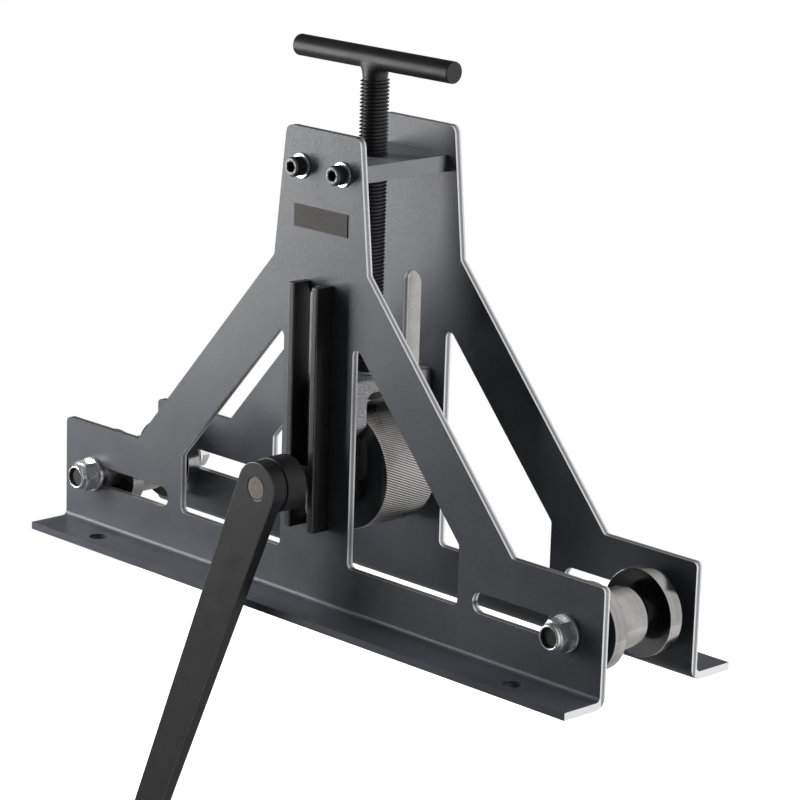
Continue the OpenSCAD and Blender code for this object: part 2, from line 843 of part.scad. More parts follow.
module rear_ring(side) {
    color("dimgray") at_axle(side) ring_y(ring_d / 2, tube_d / 2, rear_ring_y, -tube_y0);
}

module flange_disc(side, y0) {
    color("silver") at_axle(side) difference() {
        turned_y(chamfered(disc_d / 2, y0, y0 + disc_w, disc_chamfer));
        rod_y(ride_r, y0 - over, y0 + disc_w + over);
    }
}

module core_roller(side) {
    core_end = core_y + core_w;
    color("silver") at_axle(side) difference() {
        union() {
            turned_y(chamfered(core_d / 2, core_y, core_end, disc_chamfer));
            rod_y(neck_d / 2, core_end - over, core_end + neck_w);
        }
        rod_y(core_bush_d / 2, core_y - over, core_y + core_bush_len);
        rod_y(ride_r, core_y, core_end + neck_w + over);
    }
}

module core_bush(side) {
    color("goldenrod") at_axle(side)
        ring_y(core_bush_d / 2, ride_r, core_y, core_y + core_bush_len);
}

front_plate();
rear_plate();
bridge_block();
bridge_screws();
bridge_washers();
name_plate();
front_left_guide_bar();
front_right_guide_bar();
rear_left_guide_bar();
rear_right_guide_bar();
lead_screw();
t_handle();
thrust_collar();
thrust_washer();
lock_collar();
lock_pin();
yoke();
front_shaft_bush();
rear_shaft_bush();
drive_shaft();
drive_roller();
roller_key();
crank_hub();
hub_key();
crank_arm();
rear_collar();
collar_set_screw();
grip_bolt();
grip_nut();
grip_washer();
grip();
axle_bolt(-1);  // left_axle_bolt
axle_nut(-1);  // left_axle_nut
axle_washers(-1);  // left_axle_washers
axle_tube(-1);  // left_axle_tube
front_ring(-1);  // left_front_ring
rear_ring(-1);  // left_rear_ring
flange_disc(-1, front_disc_y);  // left_front_disc
core_roller(-1);  // left_core_roller
core_bush(-1);  // left_core_bush
flange_disc(-1, rear_disc_y);  // left_rear_disc
axle_bolt(1);  // right_axle_bolt
axle_nut(1);  // right_axle_nut
axle_washers(1);  // right_axle_washers
axle_tube(1);  // right_axle_tube
front_ring(1);  // right_front_ring
rear_ring(1);  // right_rear_ring
flange_disc(1, front_disc_y);  // right_front_disc
core_roller(1);  // right_core_roller
core_bush(1);  // right_core_bush
flange_disc(1, rear_disc_y);  // right_rear_disc
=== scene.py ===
# %% [markdown]
# # A ring roller for the studio
# Two painted side plates, a feed screw with a T-handle, a knurled drive roller on a yoke, a
# crank, and two lower rollers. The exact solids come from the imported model. This script gives
# each of them the edges, threads, knurls and finishes of the real thing, one piece at a time.

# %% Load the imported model
import json
import math

import bmesh
import bpy
from mathutils import Matrix, Vector, noise


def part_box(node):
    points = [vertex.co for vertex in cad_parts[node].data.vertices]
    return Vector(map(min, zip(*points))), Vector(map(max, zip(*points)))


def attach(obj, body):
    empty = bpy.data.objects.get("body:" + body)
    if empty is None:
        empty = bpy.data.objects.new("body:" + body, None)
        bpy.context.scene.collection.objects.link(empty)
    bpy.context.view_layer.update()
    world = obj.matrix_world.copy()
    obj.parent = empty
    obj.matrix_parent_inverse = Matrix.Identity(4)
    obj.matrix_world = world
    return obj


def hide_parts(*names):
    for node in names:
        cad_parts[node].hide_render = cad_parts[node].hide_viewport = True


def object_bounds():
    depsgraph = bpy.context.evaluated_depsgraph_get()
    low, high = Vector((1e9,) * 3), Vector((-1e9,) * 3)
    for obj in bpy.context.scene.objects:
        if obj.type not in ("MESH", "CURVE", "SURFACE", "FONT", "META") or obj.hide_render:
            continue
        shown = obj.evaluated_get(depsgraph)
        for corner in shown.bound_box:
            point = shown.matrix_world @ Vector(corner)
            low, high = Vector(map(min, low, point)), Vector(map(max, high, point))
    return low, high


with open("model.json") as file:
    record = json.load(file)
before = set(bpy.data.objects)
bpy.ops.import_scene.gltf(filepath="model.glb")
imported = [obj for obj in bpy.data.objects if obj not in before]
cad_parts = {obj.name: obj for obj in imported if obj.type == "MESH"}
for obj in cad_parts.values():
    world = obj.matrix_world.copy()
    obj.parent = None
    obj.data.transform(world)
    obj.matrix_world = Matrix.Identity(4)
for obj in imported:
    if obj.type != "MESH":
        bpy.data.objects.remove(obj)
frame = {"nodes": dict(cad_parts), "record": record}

MM = 0.001
cad_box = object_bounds()
print("box of the solids:", [[round(c, 4) for c in corner] for corner in cad_box])

# %% [markdown]
# ## Camera
# A camera could be placed by eye. Here its place and lens come from fitting the corners of
# both plates in the photograph, so the render and the photograph can be laid over each other.
# The lens is long, about 153 mm, and the camera leans by a small roll.

# %% Camera
CAMERA_PLACE = Vector((1.96847, -1.88941, 0.86663))
CAMERA_AZIMUTH, CAMERA_DIP, CAMERA_ROLL = (math.radians(a) for a in (45.5865, 14.32, -1.7481))
CAMERA_LENS = 153.15
CAMERA_SENSOR = 36.0

forward = Vector((-math.sin(CAMERA_AZIMUTH) * math.cos(CAMERA_DIP),
                  math.cos(CAMERA_AZIMUTH) * math.cos(CAMERA_DIP), -math.sin(CAMERA_DIP)))
level = forward.cross(Vector((0, 0, 1))).normalized()
up = level.cross(forward) * math.cos(CAMERA_ROLL) + level * math.sin(CAMERA_ROLL)
right = forward.cross(up)

camera = bpy.data.objects.new("camera", bpy.data.cameras.new("camera"))
camera.data.lens, camera.data.sensor_width = CAMERA_LENS, CAMERA_SENSOR
camera.data.clip_start, camera.data.clip_end = 0.1, 50
camera.matrix_world = Matrix((right, up, -forward)).transposed().to_4x4()
camera.location = CAMERA_PLACE
bpy.context.scene.collection.objects.link(camera)
bpy.context.scene.camera = camera
print("camera looks along", [round(c, 3) for c in forward])

# %% [markdown]
# ## Building finishes
# A finish is a Principled shader with a few texture nodes before it. One helper adds a node
# and wires it in a single line, which keeps each finish short enough to read at a glance.

# %% Helpers for finishes
def add(material, kind, wires=None, **settings):
    """Adds a node to a material, with its settings, and wires sockets or values into it."""
    made = material.node_tree.nodes.new("ShaderNode" + kind)
    for name, value in settings.items():
        setattr(made, name, value)
    for socket, value in (wires or {}).items():
        if isinstance(value, bpy.types.NodeSocket):
            material.node_tree.links.new(value, made.inputs[socket])
        else:
            made.inputs[socket].default_value = value
    return made


def new_finish(name, metallic=0.0, **sockets):
    """A material whose shader has constants on its own sockets."""
    material = bpy.data.materials.new(name)
    material.use_nodes = True
    shader = material.node_tree.nodes["Principled BSDF"]
    shader.inputs["Metallic"].default_value = metallic
    for socket, value in sockets.items():
        shader.inputs[socket.replace("_", " ")].default_value = value
    return material


def place_on_object(material, scale=(1, 1, 1), turn=(0, 0, 0)):
    """Object coordinates, turned and then stretched."""
    here = add(material, "TexCoord").outputs["Object"]
    turned_round = add(material, "Mapping", {"Vector": here, "Rotation": turn}).outputs[0]
    return add(material, "Mapping", {"Vector": turned_round, "Scale": scale}).outputs[0]


def speckle(material, where, scale, detail=3.0, rough=0.55):
    """Noise between 0 and 1."""
    return add(material, "TexNoise", {"Vector": where, "Scale": scale, "Detail": detail,
                                      "Roughness": rough}).outputs["Fac"]


def colour_between(material, fac, dark, light, start=0.35, end=0.65):
    """Feeds the shader's colour from dark to light as a pattern goes from start to end."""
    ramp = add(material, "ValToRGB", {"Fac": fac})
    for stop, at, colour in zip(ramp.color_ramp.elements, (start, end), (dark, light)):
        stop.position, stop.color = at, (*colour, 1)
    shader = material.node_tree.nodes["Principled BSDF"]
    material.node_tree.links.new(ramp.outputs["Color"], shader.inputs["Base Color"])


def roughness_between(material, fac, low, high):
    """Feeds the shader's roughness from a pattern."""
    spread = add(material, "MapRange", {"Value": fac, "From Min": 0.3, "From Max": 0.7,
                                        "To Min": low, "To Max": high})
    shader = material.node_tree.nodes["Principled BSDF"]
    material.node_tree.links.new(spread.outputs[0], shader.inputs["Roughness"])


def relief(material, height, depth, strength=1.0):
    """Feeds the shader's normal from a height pattern of that depth in metres."""
    bump = add(material, "Bump", {"Height": height, "Distance": depth, "Strength": strength})
    shader = material.node_tree.nodes["Principled BSDF"]
    material.node_tree.links.new(bump.outputs[0], shader.inputs["Normal"])


def mixed(material, a, b, share=0.5):
    """One pattern mixed into another."""
    return add(material, "Mix", {0: share, 2: a, 3: b}).outputs[0]


print("finish helpers are ready")

# %% [markdown]
# ## Paints and black finishes
# The plates are powder coated: satin dark grey with a very fine orange peel. Their rounded
# edges are coloured nearly black, a painted dark line of shade. The cut edges look far paler,
# and palest along both faces of the sheet, a painted highlight on the rims: the pattern reads
# how far a point lies from the sheet's middle. Fittings are chemically blackened, so they stay
# nearly black with a soft sheen, and their rounded corners are a lighter black: rubbed a
# little, and a painted highlight.

# %% Paints and black finishes
def make_paint(name, dark, light, peel=760.0, low=0.36, high=0.46, depth=0.07 * MM):
    paint = new_finish(name, Specular_IOR_Level=0.45)
    here = place_on_object(paint)
    cloud = speckle(paint, here, 14.0)
    fine = speckle(paint, here, peel, 2.0)
    colour_between(paint, mixed(paint, cloud, fine, 0.35), dark, light)
    roughness_between(paint, fine, low, high)
    relief(paint, fine, depth)
    return paint


def make_pale_edge_with_painted_rims(name, dark, light, sheet_middle, sheet_half):
    """A cut edge that is brighter along both faces of the sheet than in its middle,
    a painted highlight on its rims.
    """
    edge = new_finish(name, 0.85)
    here = place_on_object(edge)
    lines = speckle(edge, here, 700.0, 3.0)
    deep = add(edge, "SeparateXYZ", {0: here}).outputs["Y"]
    out = add(edge, "Math", {0: deep}, operation="ABSOLUTE").outputs[0]
    off_middle = add(edge, "Math", {0: out, 1: sheet_middle}, operation="SUBTRACT").outputs[0]
    away = add(edge, "Math", {0: off_middle}, operation="ABSOLUTE").outputs[0]
    # Painted highlight: the colour brightens towards both faces of the sheet.
    rim = add(edge, "MapRange", {"Value": away, "From Min": 0.3 * sheet_half,
                                 "From Max": 0.62 * sheet_half, "To Min": 0.0, "To Max": 0.8})
    worn = add(edge, "Math", {0: lines, 1: 0.3}, operation="MULTIPLY").outputs[0]
    both = add(edge, "Math", {0: rim.outputs[0], 1: worn}, operation="ADD").outputs[0]
    colour_between(edge, both, dark, light, 0.1, 0.95)
    roughness_between(edge, lines, 0.28, 0.36)
    relief(edge, lines, 0.001 * MM)
    return edge


def make_black(name, dark, light, metallic, low, high):
    black = new_finish(name, metallic, Specular_IOR_Level=0.36)
    here = place_on_object(black)
    fine = speckle(black, here, 900.0, 4.0)
    cloud = speckle(black, here, 60.0)
    colour_between(black, mixed(black, cloud, fine, 0.5), dark, light)
    roughness_between(black, cloud, low, high)
    relief(black, fine, 0.012 * MM)
    return black


plate_paint = make_paint("plate paint", (0.042, 0.045, 0.056), (0.074, 0.078, 0.092))
# The bridge has the plates' paint made lighter: painted light for its lit side.
bridge_paint_painted_lighter = make_paint("bridge paint, painted lighter", (0.125, 0.127, 0.132), (0.165, 0.167, 0.173))
# The rounds on the plates' edges are nearly black: a painted dark line of shade.
edge_paint_dark_line = make_paint("paint on the edges, as a painted dark line", (0.012, 0.012, 0.014), (0.022, 0.022, 0.026))
CAP_WASHER = 2 * MM
sheet_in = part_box("rear_plate")[0].y
sheet_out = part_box("bridge_washers")[1].y - CAP_WASHER
# The cut faces are pale, with a painted highlight along both rims of the sheet.
pale_edge_with_painted_rims = make_pale_edge_with_painted_rims("cut edge with painted rim highlights", (0.19, 0.19, 0.198), (0.64, 0.64, 0.658),
                         (sheet_in + sheet_out) / 2, (sheet_out - sheet_in) / 2)
black_oxide = make_black("black oxide", (0.011, 0.011, 0.012), (0.021, 0.021, 0.023),
                         0.0, 0.4, 0.52)
# Rounded corners of the black fittings: rubbed a little, and lighter as a painted highlight.
black_corner_wear_and_highlight = make_black("rubbed black corner with painted highlight", (0.07, 0.07, 0.072), (0.14, 0.14, 0.144),
                          0.45, 0.28, 0.4)
oiled_black = make_black("oiled black", (0.009, 0.009, 0.01), (0.016, 0.016, 0.018),
                         0.0, 0.42, 0.5)
thread_crest = make_black("thread crest", (0.03, 0.03, 0.032), (0.075, 0.075, 0.08),
                          0.2, 0.3, 0.42)
print("paints and black finishes: 8")

# %% [markdown]
# ## Bare metals
# Rollers and discs come off a lathe, so fine rings run round them. The pattern reads the
# distance from the axle and the place along it, so one noise gives rings on the rim and on
# the flat faces alike. Each axle needs its own centre. On the knurled rim the same distance
# paints shade into the grooves and a highlight onto the crests. The flat faces of the roller
# and discs are a darker steel, painted dark for the shade that they mirror. Zinc plate is
# paler and mirrors less sharply, and a sawn shaft end shows crossed scratches.

# %% Bare metals
def rings_round(material, centre):
    """Coordinates that are the same all the way round an axis along Y."""
    here = add(material, "TexCoord").outputs["Object"]
    moved = add(material, "VectorMath", {0: here, 1: centre}, operation="SUBTRACT").outputs[0]
    flat = add(material, "VectorMath", {0: moved, 1: (1, 0, 1)}, operation="MULTIPLY").outputs[0]
    away = add(material, "VectorMath", {0: flat}, operation="LENGTH").outputs["Value"]
    along = add(material, "SeparateXYZ", {0: moved}).outputs["Y"]
    return add(material, "CombineXYZ", {0: away, 1: along}).outputs[0]


def make_turned(name, centre, dark, light, low=0.14, high=0.24, pitch=2600.0, depth=0.002 * MM):
    metal = new_finish(name, 1.0)
    lines = speckle(metal, rings_round(metal, centre), pitch, 2.0, 0.7)
    smudge = speckle(metal, place_on_object(metal), 45.0)
    colour_between(metal, mixed(metal, lines, smudge, 0.4), dark, light)
    roughness_between(metal, mixed(metal, smudge, lines, 0.5), low, high)
    relief(metal, lines, depth)
    return metal


def make_knurled_with_painted_light(name, centre, groove, crest, crest_r, tooth):
    """Painted shade in the grooves and a painted highlight on the crests,
    by the distance from the axle.
    """
    metal = new_finish(name, 1.0)
    away = add(metal, "SeparateXYZ", {0: rings_round(metal, centre)}).outputs["X"]
    risen = add(metal, "MapRange", {"Value": away, "From Min": crest_r - tooth,
                                    "From Max": crest_r}).outputs[0]
    smudge = speckle(metal, place_on_object(metal), 45.0)
    colour_between(metal, mixed(metal, risen, smudge, 0.3), groove, crest, 0.25, 0.75)
    roughness_between(metal, smudge, 0.26, 0.38)
    relief(metal, smudge, 0.002 * MM)
    return metal


def make_plated(name, dark, light, low, high, metallic=1.0):
    metal = new_finish(name, metallic)
    here = place_on_object(metal)
    fine = speckle(metal, here, 1100.0)
    colour_between(metal, fine, dark, light)
    roughness_between(metal, speckle(metal, here, 70.0), low, high)
    relief(metal, fine, 0.0003 * MM)
    return metal


def make_sawn(name, dark, light):
    metal = new_finish(name, 0.75)
    stretch = (1, 0.1, 0.08)
    one = speckle(metal, place_on_object(metal, scale=stretch, turn=(0, 0.75, 0)), 1900.0)
    other = speckle(metal, place_on_object(metal, scale=stretch, turn=(0, -0.8, 0)), 1600.0)
    both = mixed(metal, one, other)
    colour_between(metal, both, dark, light, 0.4, 0.6)
    roughness_between(metal, both, 0.35, 0.55)
    relief(metal, both, 0.05 * MM)
    return metal


def middle(node):
    """The middle of a node's box."""
    lo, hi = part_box(node)
    return (lo + hi) / 2


LATHE_DARK, LATHE_LIGHT = (0.24, 0.24, 0.24), (0.46, 0.45, 0.44)
TOOTH_DEPTH = 0.5 * MM
roller_lo, roller_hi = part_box("drive_roller")
roller_r = (roller_hi.x - roller_lo.x) / 2
# The knurled rim: painted shade in its grooves and a painted highlight on its crests.
roller_steel_painted_light = make_knurled_with_painted_light("knurled steel with painted shade and highlight", middle("drive_shaft"), (0.08, 0.078, 0.076),
                            (0.62, 0.605, 0.585), roller_r, TOOTH_DEPTH)
# The flat faces are painted darker than the turned steel, for the shade that they mirror.
faced_steel_painted_dark = make_turned("faced steel, painted darker", middle("drive_shaft"), (0.14, 0.14, 0.145),
                          (0.2, 0.2, 0.205), 0.12, 0.2)
lathe_steel = {side: make_turned(f"{side} lathe steel", middle(f"{side}_core_roller"),
                                 LATHE_DARK, LATHE_LIGHT) for side in ("left", "right")}
zinc = make_plated("bright zinc", (0.68, 0.69, 0.71), (0.8, 0.81, 0.83), 0.24, 0.34, 0.8)
sawn_steel = make_sawn("sawn shaft steel", (0.1, 0.091, 0.085), (0.2, 0.183, 0.173))
ground_steel = make_plated("ground steel", (0.36, 0.35, 0.34), (0.5, 0.49, 0.48), 0.25, 0.4)
bronze = make_plated("turned bronze", (0.58, 0.38, 0.17), (0.76, 0.54, 0.27), 0.25, 0.4)
print("bare metals: 8")

# %% [markdown]
# ## Casting, plastics and the name plate
# The yoke wears hammered grey paint: small dimples with brighter and darker flecks. The grip
# and the lock nuts' rings are matt black plastic. The name plate stays bare, a dark brushed
# plate.

# %% Casting, plastics and the name plate
def make_hammered(name, dark, light):
    paint = new_finish(name, 0.35)
    here = place_on_object(paint)
    dimples = add(paint, "TexVoronoi", {"Vector": here, "Scale": 720.0, "Smoothness": 1.0},
                  feature="SMOOTH_F1").outputs["Distance"]
    flecks = speckle(paint, here, 950.0, 3.0, 0.6)
    colour_between(paint, mixed(paint, flecks, dimples, 0.3), dark, light, 0.34, 0.62)
    roughness_between(paint, flecks, 0.34, 0.5)
    relief(paint, mixed(paint, dimples, flecks, 0.4), 0.35 * MM, 0.8)
    return paint


def make_plastic(name, dark, light, grain):
    plastic = new_finish(name)
    fine = speckle(plastic, place_on_object(plastic), grain)
    colour_between(plastic, fine, dark, light)
    roughness_between(plastic, fine, 0.5, 0.65)
    relief(plastic, fine, 0.03 * MM)
    return plastic


def make_brushed(name, dark, light):
    plate = new_finish(name, Specular_IOR_Level=0.2)
    strokes = speckle(plate, place_on_object(plate, scale=(0.03, 1, 1)), 2200.0, 3.0)
    colour_between(plate, strokes, dark, light, 0.3, 0.7)
    roughness_between(plate, strokes, 0.42, 0.52)
    relief(plate, strokes, 0.01 * MM)
    return plate


hammered_grey = make_hammered("hammered grey", (0.13, 0.13, 0.134), (0.44, 0.44, 0.445))
grip_plastic = make_plastic("grip plastic", (0.014, 0.014, 0.015), (0.028, 0.028, 0.03), 800.0)
nylon = make_plastic("nut nylon", (0.02, 0.02, 0.021), (0.035, 0.035, 0.036), 500.0)
name_metal = make_brushed("name plate metal", (0.018, 0.015, 0.013), (0.036, 0.031, 0.027))
name_rim = make_brushed("name plate rim", (0.075, 0.066, 0.058), (0.11, 0.098, 0.086))
print("finishes in all:", len(bpy.data.materials))

# %% [markdown]
# ## Building pieces
# Three helpers carry most of the work. One takes a copy of a solid and joins its loose
# triangles into whole faces. One builds a shell ring by ring, as a lathe would, but each
# ring's radius may follow the angle, so hexagons, sockets and knurls come from it too. The
# last one turns a mesh into a piece that rides on its solid's body and stands for it.

# %% Helpers for pieces
SIDES = 96


def solid_copy(node):
    """A copy of a solid's mesh, with its corners joined and its flat faces whole."""
    bm = bmesh.new()
    bm.from_mesh(frame["nodes"][node].data)
    bmesh.ops.remove_doubles(bm, verts=bm.verts, dist=0.002 * MM)
    bmesh.ops.dissolve_limit(bm, angle_limit=math.radians(0.4), verts=bm.verts, edges=bm.edges)
    return bm


def soften(bm, width, segments=3, sharper_than=35, pick=lambda edge: True):
    """Rounds the sharp edges, and returns the faces that this makes."""
    sharp = [e for e in bm.edges if e.is_manifold and pick(e)
             and e.calc_face_angle() > math.radians(sharper_than)]
    return bmesh.ops.bevel(bm, geom=sharp, offset=width, segments=segments, profile=0.5,
                           affect="EDGES", clamp_overlap=True, material=-1)["faces"]


def ring_built(rings, sides=SIDES, bored=False):
    """A closed shell up Z. A ring is (radius, height) or (radius, height, turn), and radius
    and height may each be a number or a function of the angle."""
    bm = bmesh.new()
    made = bmesh.ops.create_circle(bm, cap_ends=not bored, segments=sides, radius=1)
    corners, loop, turned_by = made["verts"], list(bm.edges), 0.0
    for count, (radius, height, *turn) in enumerate(rings):
        if count:
            grown = bmesh.ops.extrude_edge_only(bm, edges=loop)["geom"]
            corners = [g for g in grown if isinstance(g, bmesh.types.BMVert)]
            loop = [g for g in grown if isinstance(g, bmesh.types.BMEdge)]
        turn = turn[0] if turn else 0.0
        for corner in corners:
            angle = math.atan2(corner.co.y, corner.co.x) - turned_by
            far = radius(angle) if callable(radius) else radius
            high = height(angle) if callable(height) else height
            corner.co = (far * math.cos(angle + turn), far * math.sin(angle + turn), high)
        turned_by = turn
    if bored:
        bmesh.ops.remove_doubles(bm, verts=bm.verts, dist=0.001 * MM)
    else:
        bmesh.ops.edgeloop_fill(bm, edges=loop)
    bmesh.ops.recalc_face_normals(bm, faces=bm.faces)
    return bm


def hexagon(flats):
    """Radius of a hexagon at an angle, with its size across flats."""
    return lambda angle: flats / 2 / math.cos(angle % (math.pi / 3) - math.pi / 6)


def lying(node, turn=0.0):
    """Lays a shell that was built up Z along +Y, round a node's axis."""
    centre = middle(node)
    return (Matrix.Translation((centre.x, 0, centre.z)) @ Matrix.Rotation(turn, 4, "Y")
            @ Matrix.Rotation(math.radians(-90), 4, "X"))


def moved(bm, matrix):
    bmesh.ops.transform(bm, matrix=matrix, verts=bm.verts)
    return bm


def joined(shells):
    """Several shells as one."""
    whole = bmesh.new()
    for shell in shells:
        part = bpy.data.meshes.new("part")
        shell.to_mesh(part)
        shell.free()
        whole.from_mesh(part)
        bpy.data.meshes.remove(part)
    return whole


body_of_node = {node: body for body, nodes in frame["record"]["behaviour"]["bodies"].items()
                for node in nodes}


def dressed(name, bm, finishes, *nodes, crisp=33, even=True):
    """Makes a piece that rides on the body of the nodes that it stands for."""
    for face in bm.faces:
        face.smooth = True
    for edge in bm.edges:
        if edge.is_manifold:
            edge.smooth = edge.calc_face_angle() < math.radians(crisp)
    mesh = bpy.data.meshes.new(name)
    bm.to_mesh(mesh)
    bm.free()
    for each in finishes:
        mesh.materials.append(each)
    piece = bpy.data.objects.new(name, mesh)
    bpy.context.scene.collection.objects.link(piece)
    if even:
        shading = piece.modifiers.new("even shading", "WEIGHTED_NORMAL")
        shading.keep_sharp = True
    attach(piece, body_of_node[nodes[0]])
    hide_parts(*nodes)
    print(f"{name}: {len(mesh.polygons)} faces")
    return piece


def paint_faces(bm, index, test):
    """Gives the faces that pass a test another of the piece's finishes."""
    for face in bm.faces:
        if test(face.calc_center_median(), face.normal):
            face.material_index = index


print("bodies to ride on:", len(set(body_of_node.values())))

# %% [markdown]
# ## Side plates
# Each plate is one sheet, cut by laser and bent along its foot. A copy of the exact solid
# keeps every slot and window, so only its edges are worked on: a small round outlines each of
# them, coloured nearly black as a painted dark line of shade. The faces left by the cut get the
# pale edge finish, with a painted highlight along both rims, and the rest gets the paint.

# %% Side plates
PLATE_EDGE = 0.8 * MM
PLATE_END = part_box("rear_plate")[1].x
BEND_TOP = 10.6 * MM


def is_cut(centre, normal):
    """True on the faces that the cut left on the upright web and on the two ends."""
    at_end = abs(centre.x) > PLATE_END - 2 * MM and abs(normal.x) > 0.6
    web = abs(centre.y) < sheet_out + 0.1 * MM and centre.z > BEND_TOP
    return at_end or (web and abs(normal.y) < 0.6)


for place in ("front", "rear"):
    bm = solid_copy(f"{place}_plate")
    rounds = soften(bm, PLATE_EDGE, 4)
    paint_faces(bm, 1, is_cut)
    # The rounds get the nearly black paint, a painted dark line of shade.
    for face in rounds:
        face.material_index = 2
    dressed(f"{place}_painted_plate", bm, [plate_paint, pale_edge_with_painted_rims, edge_paint_dark_line], f"{place}_plate")

# %% [markdown]
# ## Guide bars
# Four flat bars stand on edge beside the shaft slots. A cube scaled to the bar's own box,
# with its outer edges rounded, is all that they need. On the rear pair the face towards the
# slot is pale ground steel, a painted highlight for the light seen on it through the slot,
# while the front pair's same faces stay black.

# %% Guide bars
BAR_ROUND = 1.2 * MM


def block(lo, hi):
    """A block between two corners."""
    bm = bmesh.new()
    bmesh.ops.create_cube(bm, size=1)
    bmesh.ops.scale(bm, vec=hi - lo, verts=bm.verts)
    bmesh.ops.translate(bm, vec=(lo + hi) / 2, verts=bm.verts)
    return bm


for place in ("front", "rear"):
    for side in ("left", "right"):
        node = f"{place}_{side}_guide_bar"
        lo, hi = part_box(node)
        outer = lo.y if place == "front" else hi.y
        bm = block(lo, hi)
        rounded = soften(bm, BAR_ROUND, 4, pick=lambda e: all(
            abs(v.co.y - outer) < 0.01 * MM for v in e.verts))
        # The rounded outer edges get the lighter black, partly a painted highlight.
        for face in rounded:
            face.material_index = 1
        towards_slot = 1 if side == "left" else -1
        # On the rear bars the face towards the slot is pale ground steel, a painted highlight.
        paint_faces(bm, 2, lambda c, n: place == "rear" and n.x * towards_slot > 0.95)
        dressed(f"{place}_{side}_blackened_bar", bm, [black_oxide, black_corner_wear_and_highlight, ground_steel],
                node)

# %% [markdown]
# ## Bridge
# The bridge is a painted block with a tapped hole, held between the plates' tops. Its exact
# solid is right as it is, so a bevel on a copy only rounds the corners by half a millimetre.

# %% Bridge
bm = solid_copy("bridge_block")
soften(bm, 0.5 * MM)
# Its paint is lighter than the plates', painted light.
dressed("painted_bridge", bm, [bridge_paint_painted_lighter], "bridge_block")

# %% [markdown]
# ## Cap screws and their washers
# A cap screw's head has fine ridges round it, a chamfered rim and a hexagon socket. Every
# ring here has as many corners as the ridges need, and the hexagon's rings put those corners
# on its flats. One function builds the screw at each of its four places.

# %% Cap screws and their washers
HEAD_R, HEAD_H, SHANK_R, SOCKET = 8 * MM, 10 * MM, 5 * MM, 8 * MM
SHANK_LENGTH, WASHER_BORE = 30 * MM, 5.3 * MM
RIDGES = 48


def ridged(radius, depth, count):
    """Radius of a ring of ridges at an angle."""
    return lambda angle: radius - depth * (0.5 - 0.5 * math.cos(count * angle))


screws_lo, screws_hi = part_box("bridge_screws")
head_base = screws_hi.y - HEAD_H
shank_end = -screws_lo.y - HEAD_H - SHANK_LENGTH
washers_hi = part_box("bridge_washers")[1]
screw_x = screws_hi.x - HEAD_R
screw_z = middle("bridge_screws").z


def cap_screw():
    side = ridged(HEAD_R, 0.32 * MM, RIDGES)
    return ring_built([
        (SHANK_R - 1 * MM, shank_end), (SHANK_R, shank_end + 1 * MM), (SHANK_R, head_base),
        (HEAD_R - 0.5 * MM, head_base), (HEAD_R - 0.25 * MM, head_base + 0.6 * MM),
        (side, head_base + 1.2 * MM), (side, head_base + HEAD_H - 1.4 * MM),
        (HEAD_R - 0.3 * MM, head_base + HEAD_H - 1.0 * MM),
        (HEAD_R - 0.9 * MM, head_base + HEAD_H - 0.15 * MM),
        (HEAD_R - 1.3 * MM, head_base + HEAD_H),
        (SOCKET / 2 + 0.85 * MM, head_base + HEAD_H),
        (hexagon(SOCKET), head_base + HEAD_H - 0.4 * MM),
        (hexagon(SOCKET), head_base + HEAD_H / 2), (1.5 * MM, head_base + HEAD_H / 2 - 1 * MM),
    ], sides=4 * RIDGES)


def washer(outer, bore, start, end, edge=0.35 * MM):
    return ring_built([
        (bore, start), (outer - edge, start), (outer, start + edge), (outer, end - edge),
        (outer - edge / 3, end - edge / 3), (outer - edge, end), (bore + edge / 2, end),
        (bore, end - edge / 2), (bore, start),
    ], bored=True)


quarters = [(x, end) for x in (-screw_x, screw_x) for end in (1, -1)]
places = [Matrix.Translation((x, 0, screw_z)) @ Matrix.Rotation(math.radians(-90 * end), 4, "X")
          for x, end in quarters]
bm = joined([moved(cap_screw(), place) for place in places])
# The head's top face and chamfer get the lighter black, partly a painted highlight.
paint_faces(bm, 1, lambda c, n: abs(c.y) > screws_hi.y - 1.3 * MM and abs(n.y) > 0.3)
dressed("ridged_cap_screws", bm, [black_oxide, black_corner_wear_and_highlight], "bridge_screws")
bm = joined([moved(washer(washers_hi.x - screw_x, WASHER_BORE, head_base - CAP_WASHER,
                          head_base), place) for place in places])
dressed("cap_screw_washers", bm, [zinc], "bridge_washers")

# %% [markdown]
# ## Name plate
# The small plate on the front is bare, with a rim a little higher than its field. An inset
# makes the rim, and pushing the inner face back makes the field.

# %% Name plate
lo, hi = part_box("name_plate")
bm = block(lo, hi)
face = min(bm.faces, key=lambda f: f.normal.y)
bmesh.ops.inset_region(bm, faces=[face], thickness=0.8 * MM)
bmesh.ops.translate(bm, vec=(0, 0.22 * MM, 0), verts=face.verts)
soften(bm, 0.12 * MM, 2)
inside = (lo + Vector((1.1, 0, 1.1)) * MM, hi - Vector((1.1, 0, 1.1)) * MM)
paint_faces(bm, 1, lambda c, n: not (inside[0].x < c.x < inside[1].x
                                     and inside[0].z < c.z < inside[1].z))
dressed("bare_name_plate", bm, [name_metal, name_rim], "name_plate")

# %% [markdown]
# ## Feed screw
# The solid's thread is a stack of rings, which is enough to measure. The real thread climbs,
# so here one pitch of its outline is spun once round the axis while it rises. Doubling that
# turn seven times gives more thread than is needed, and flat cuts trim it. Both open ends are
# then drawn in to plain round ends and closed.

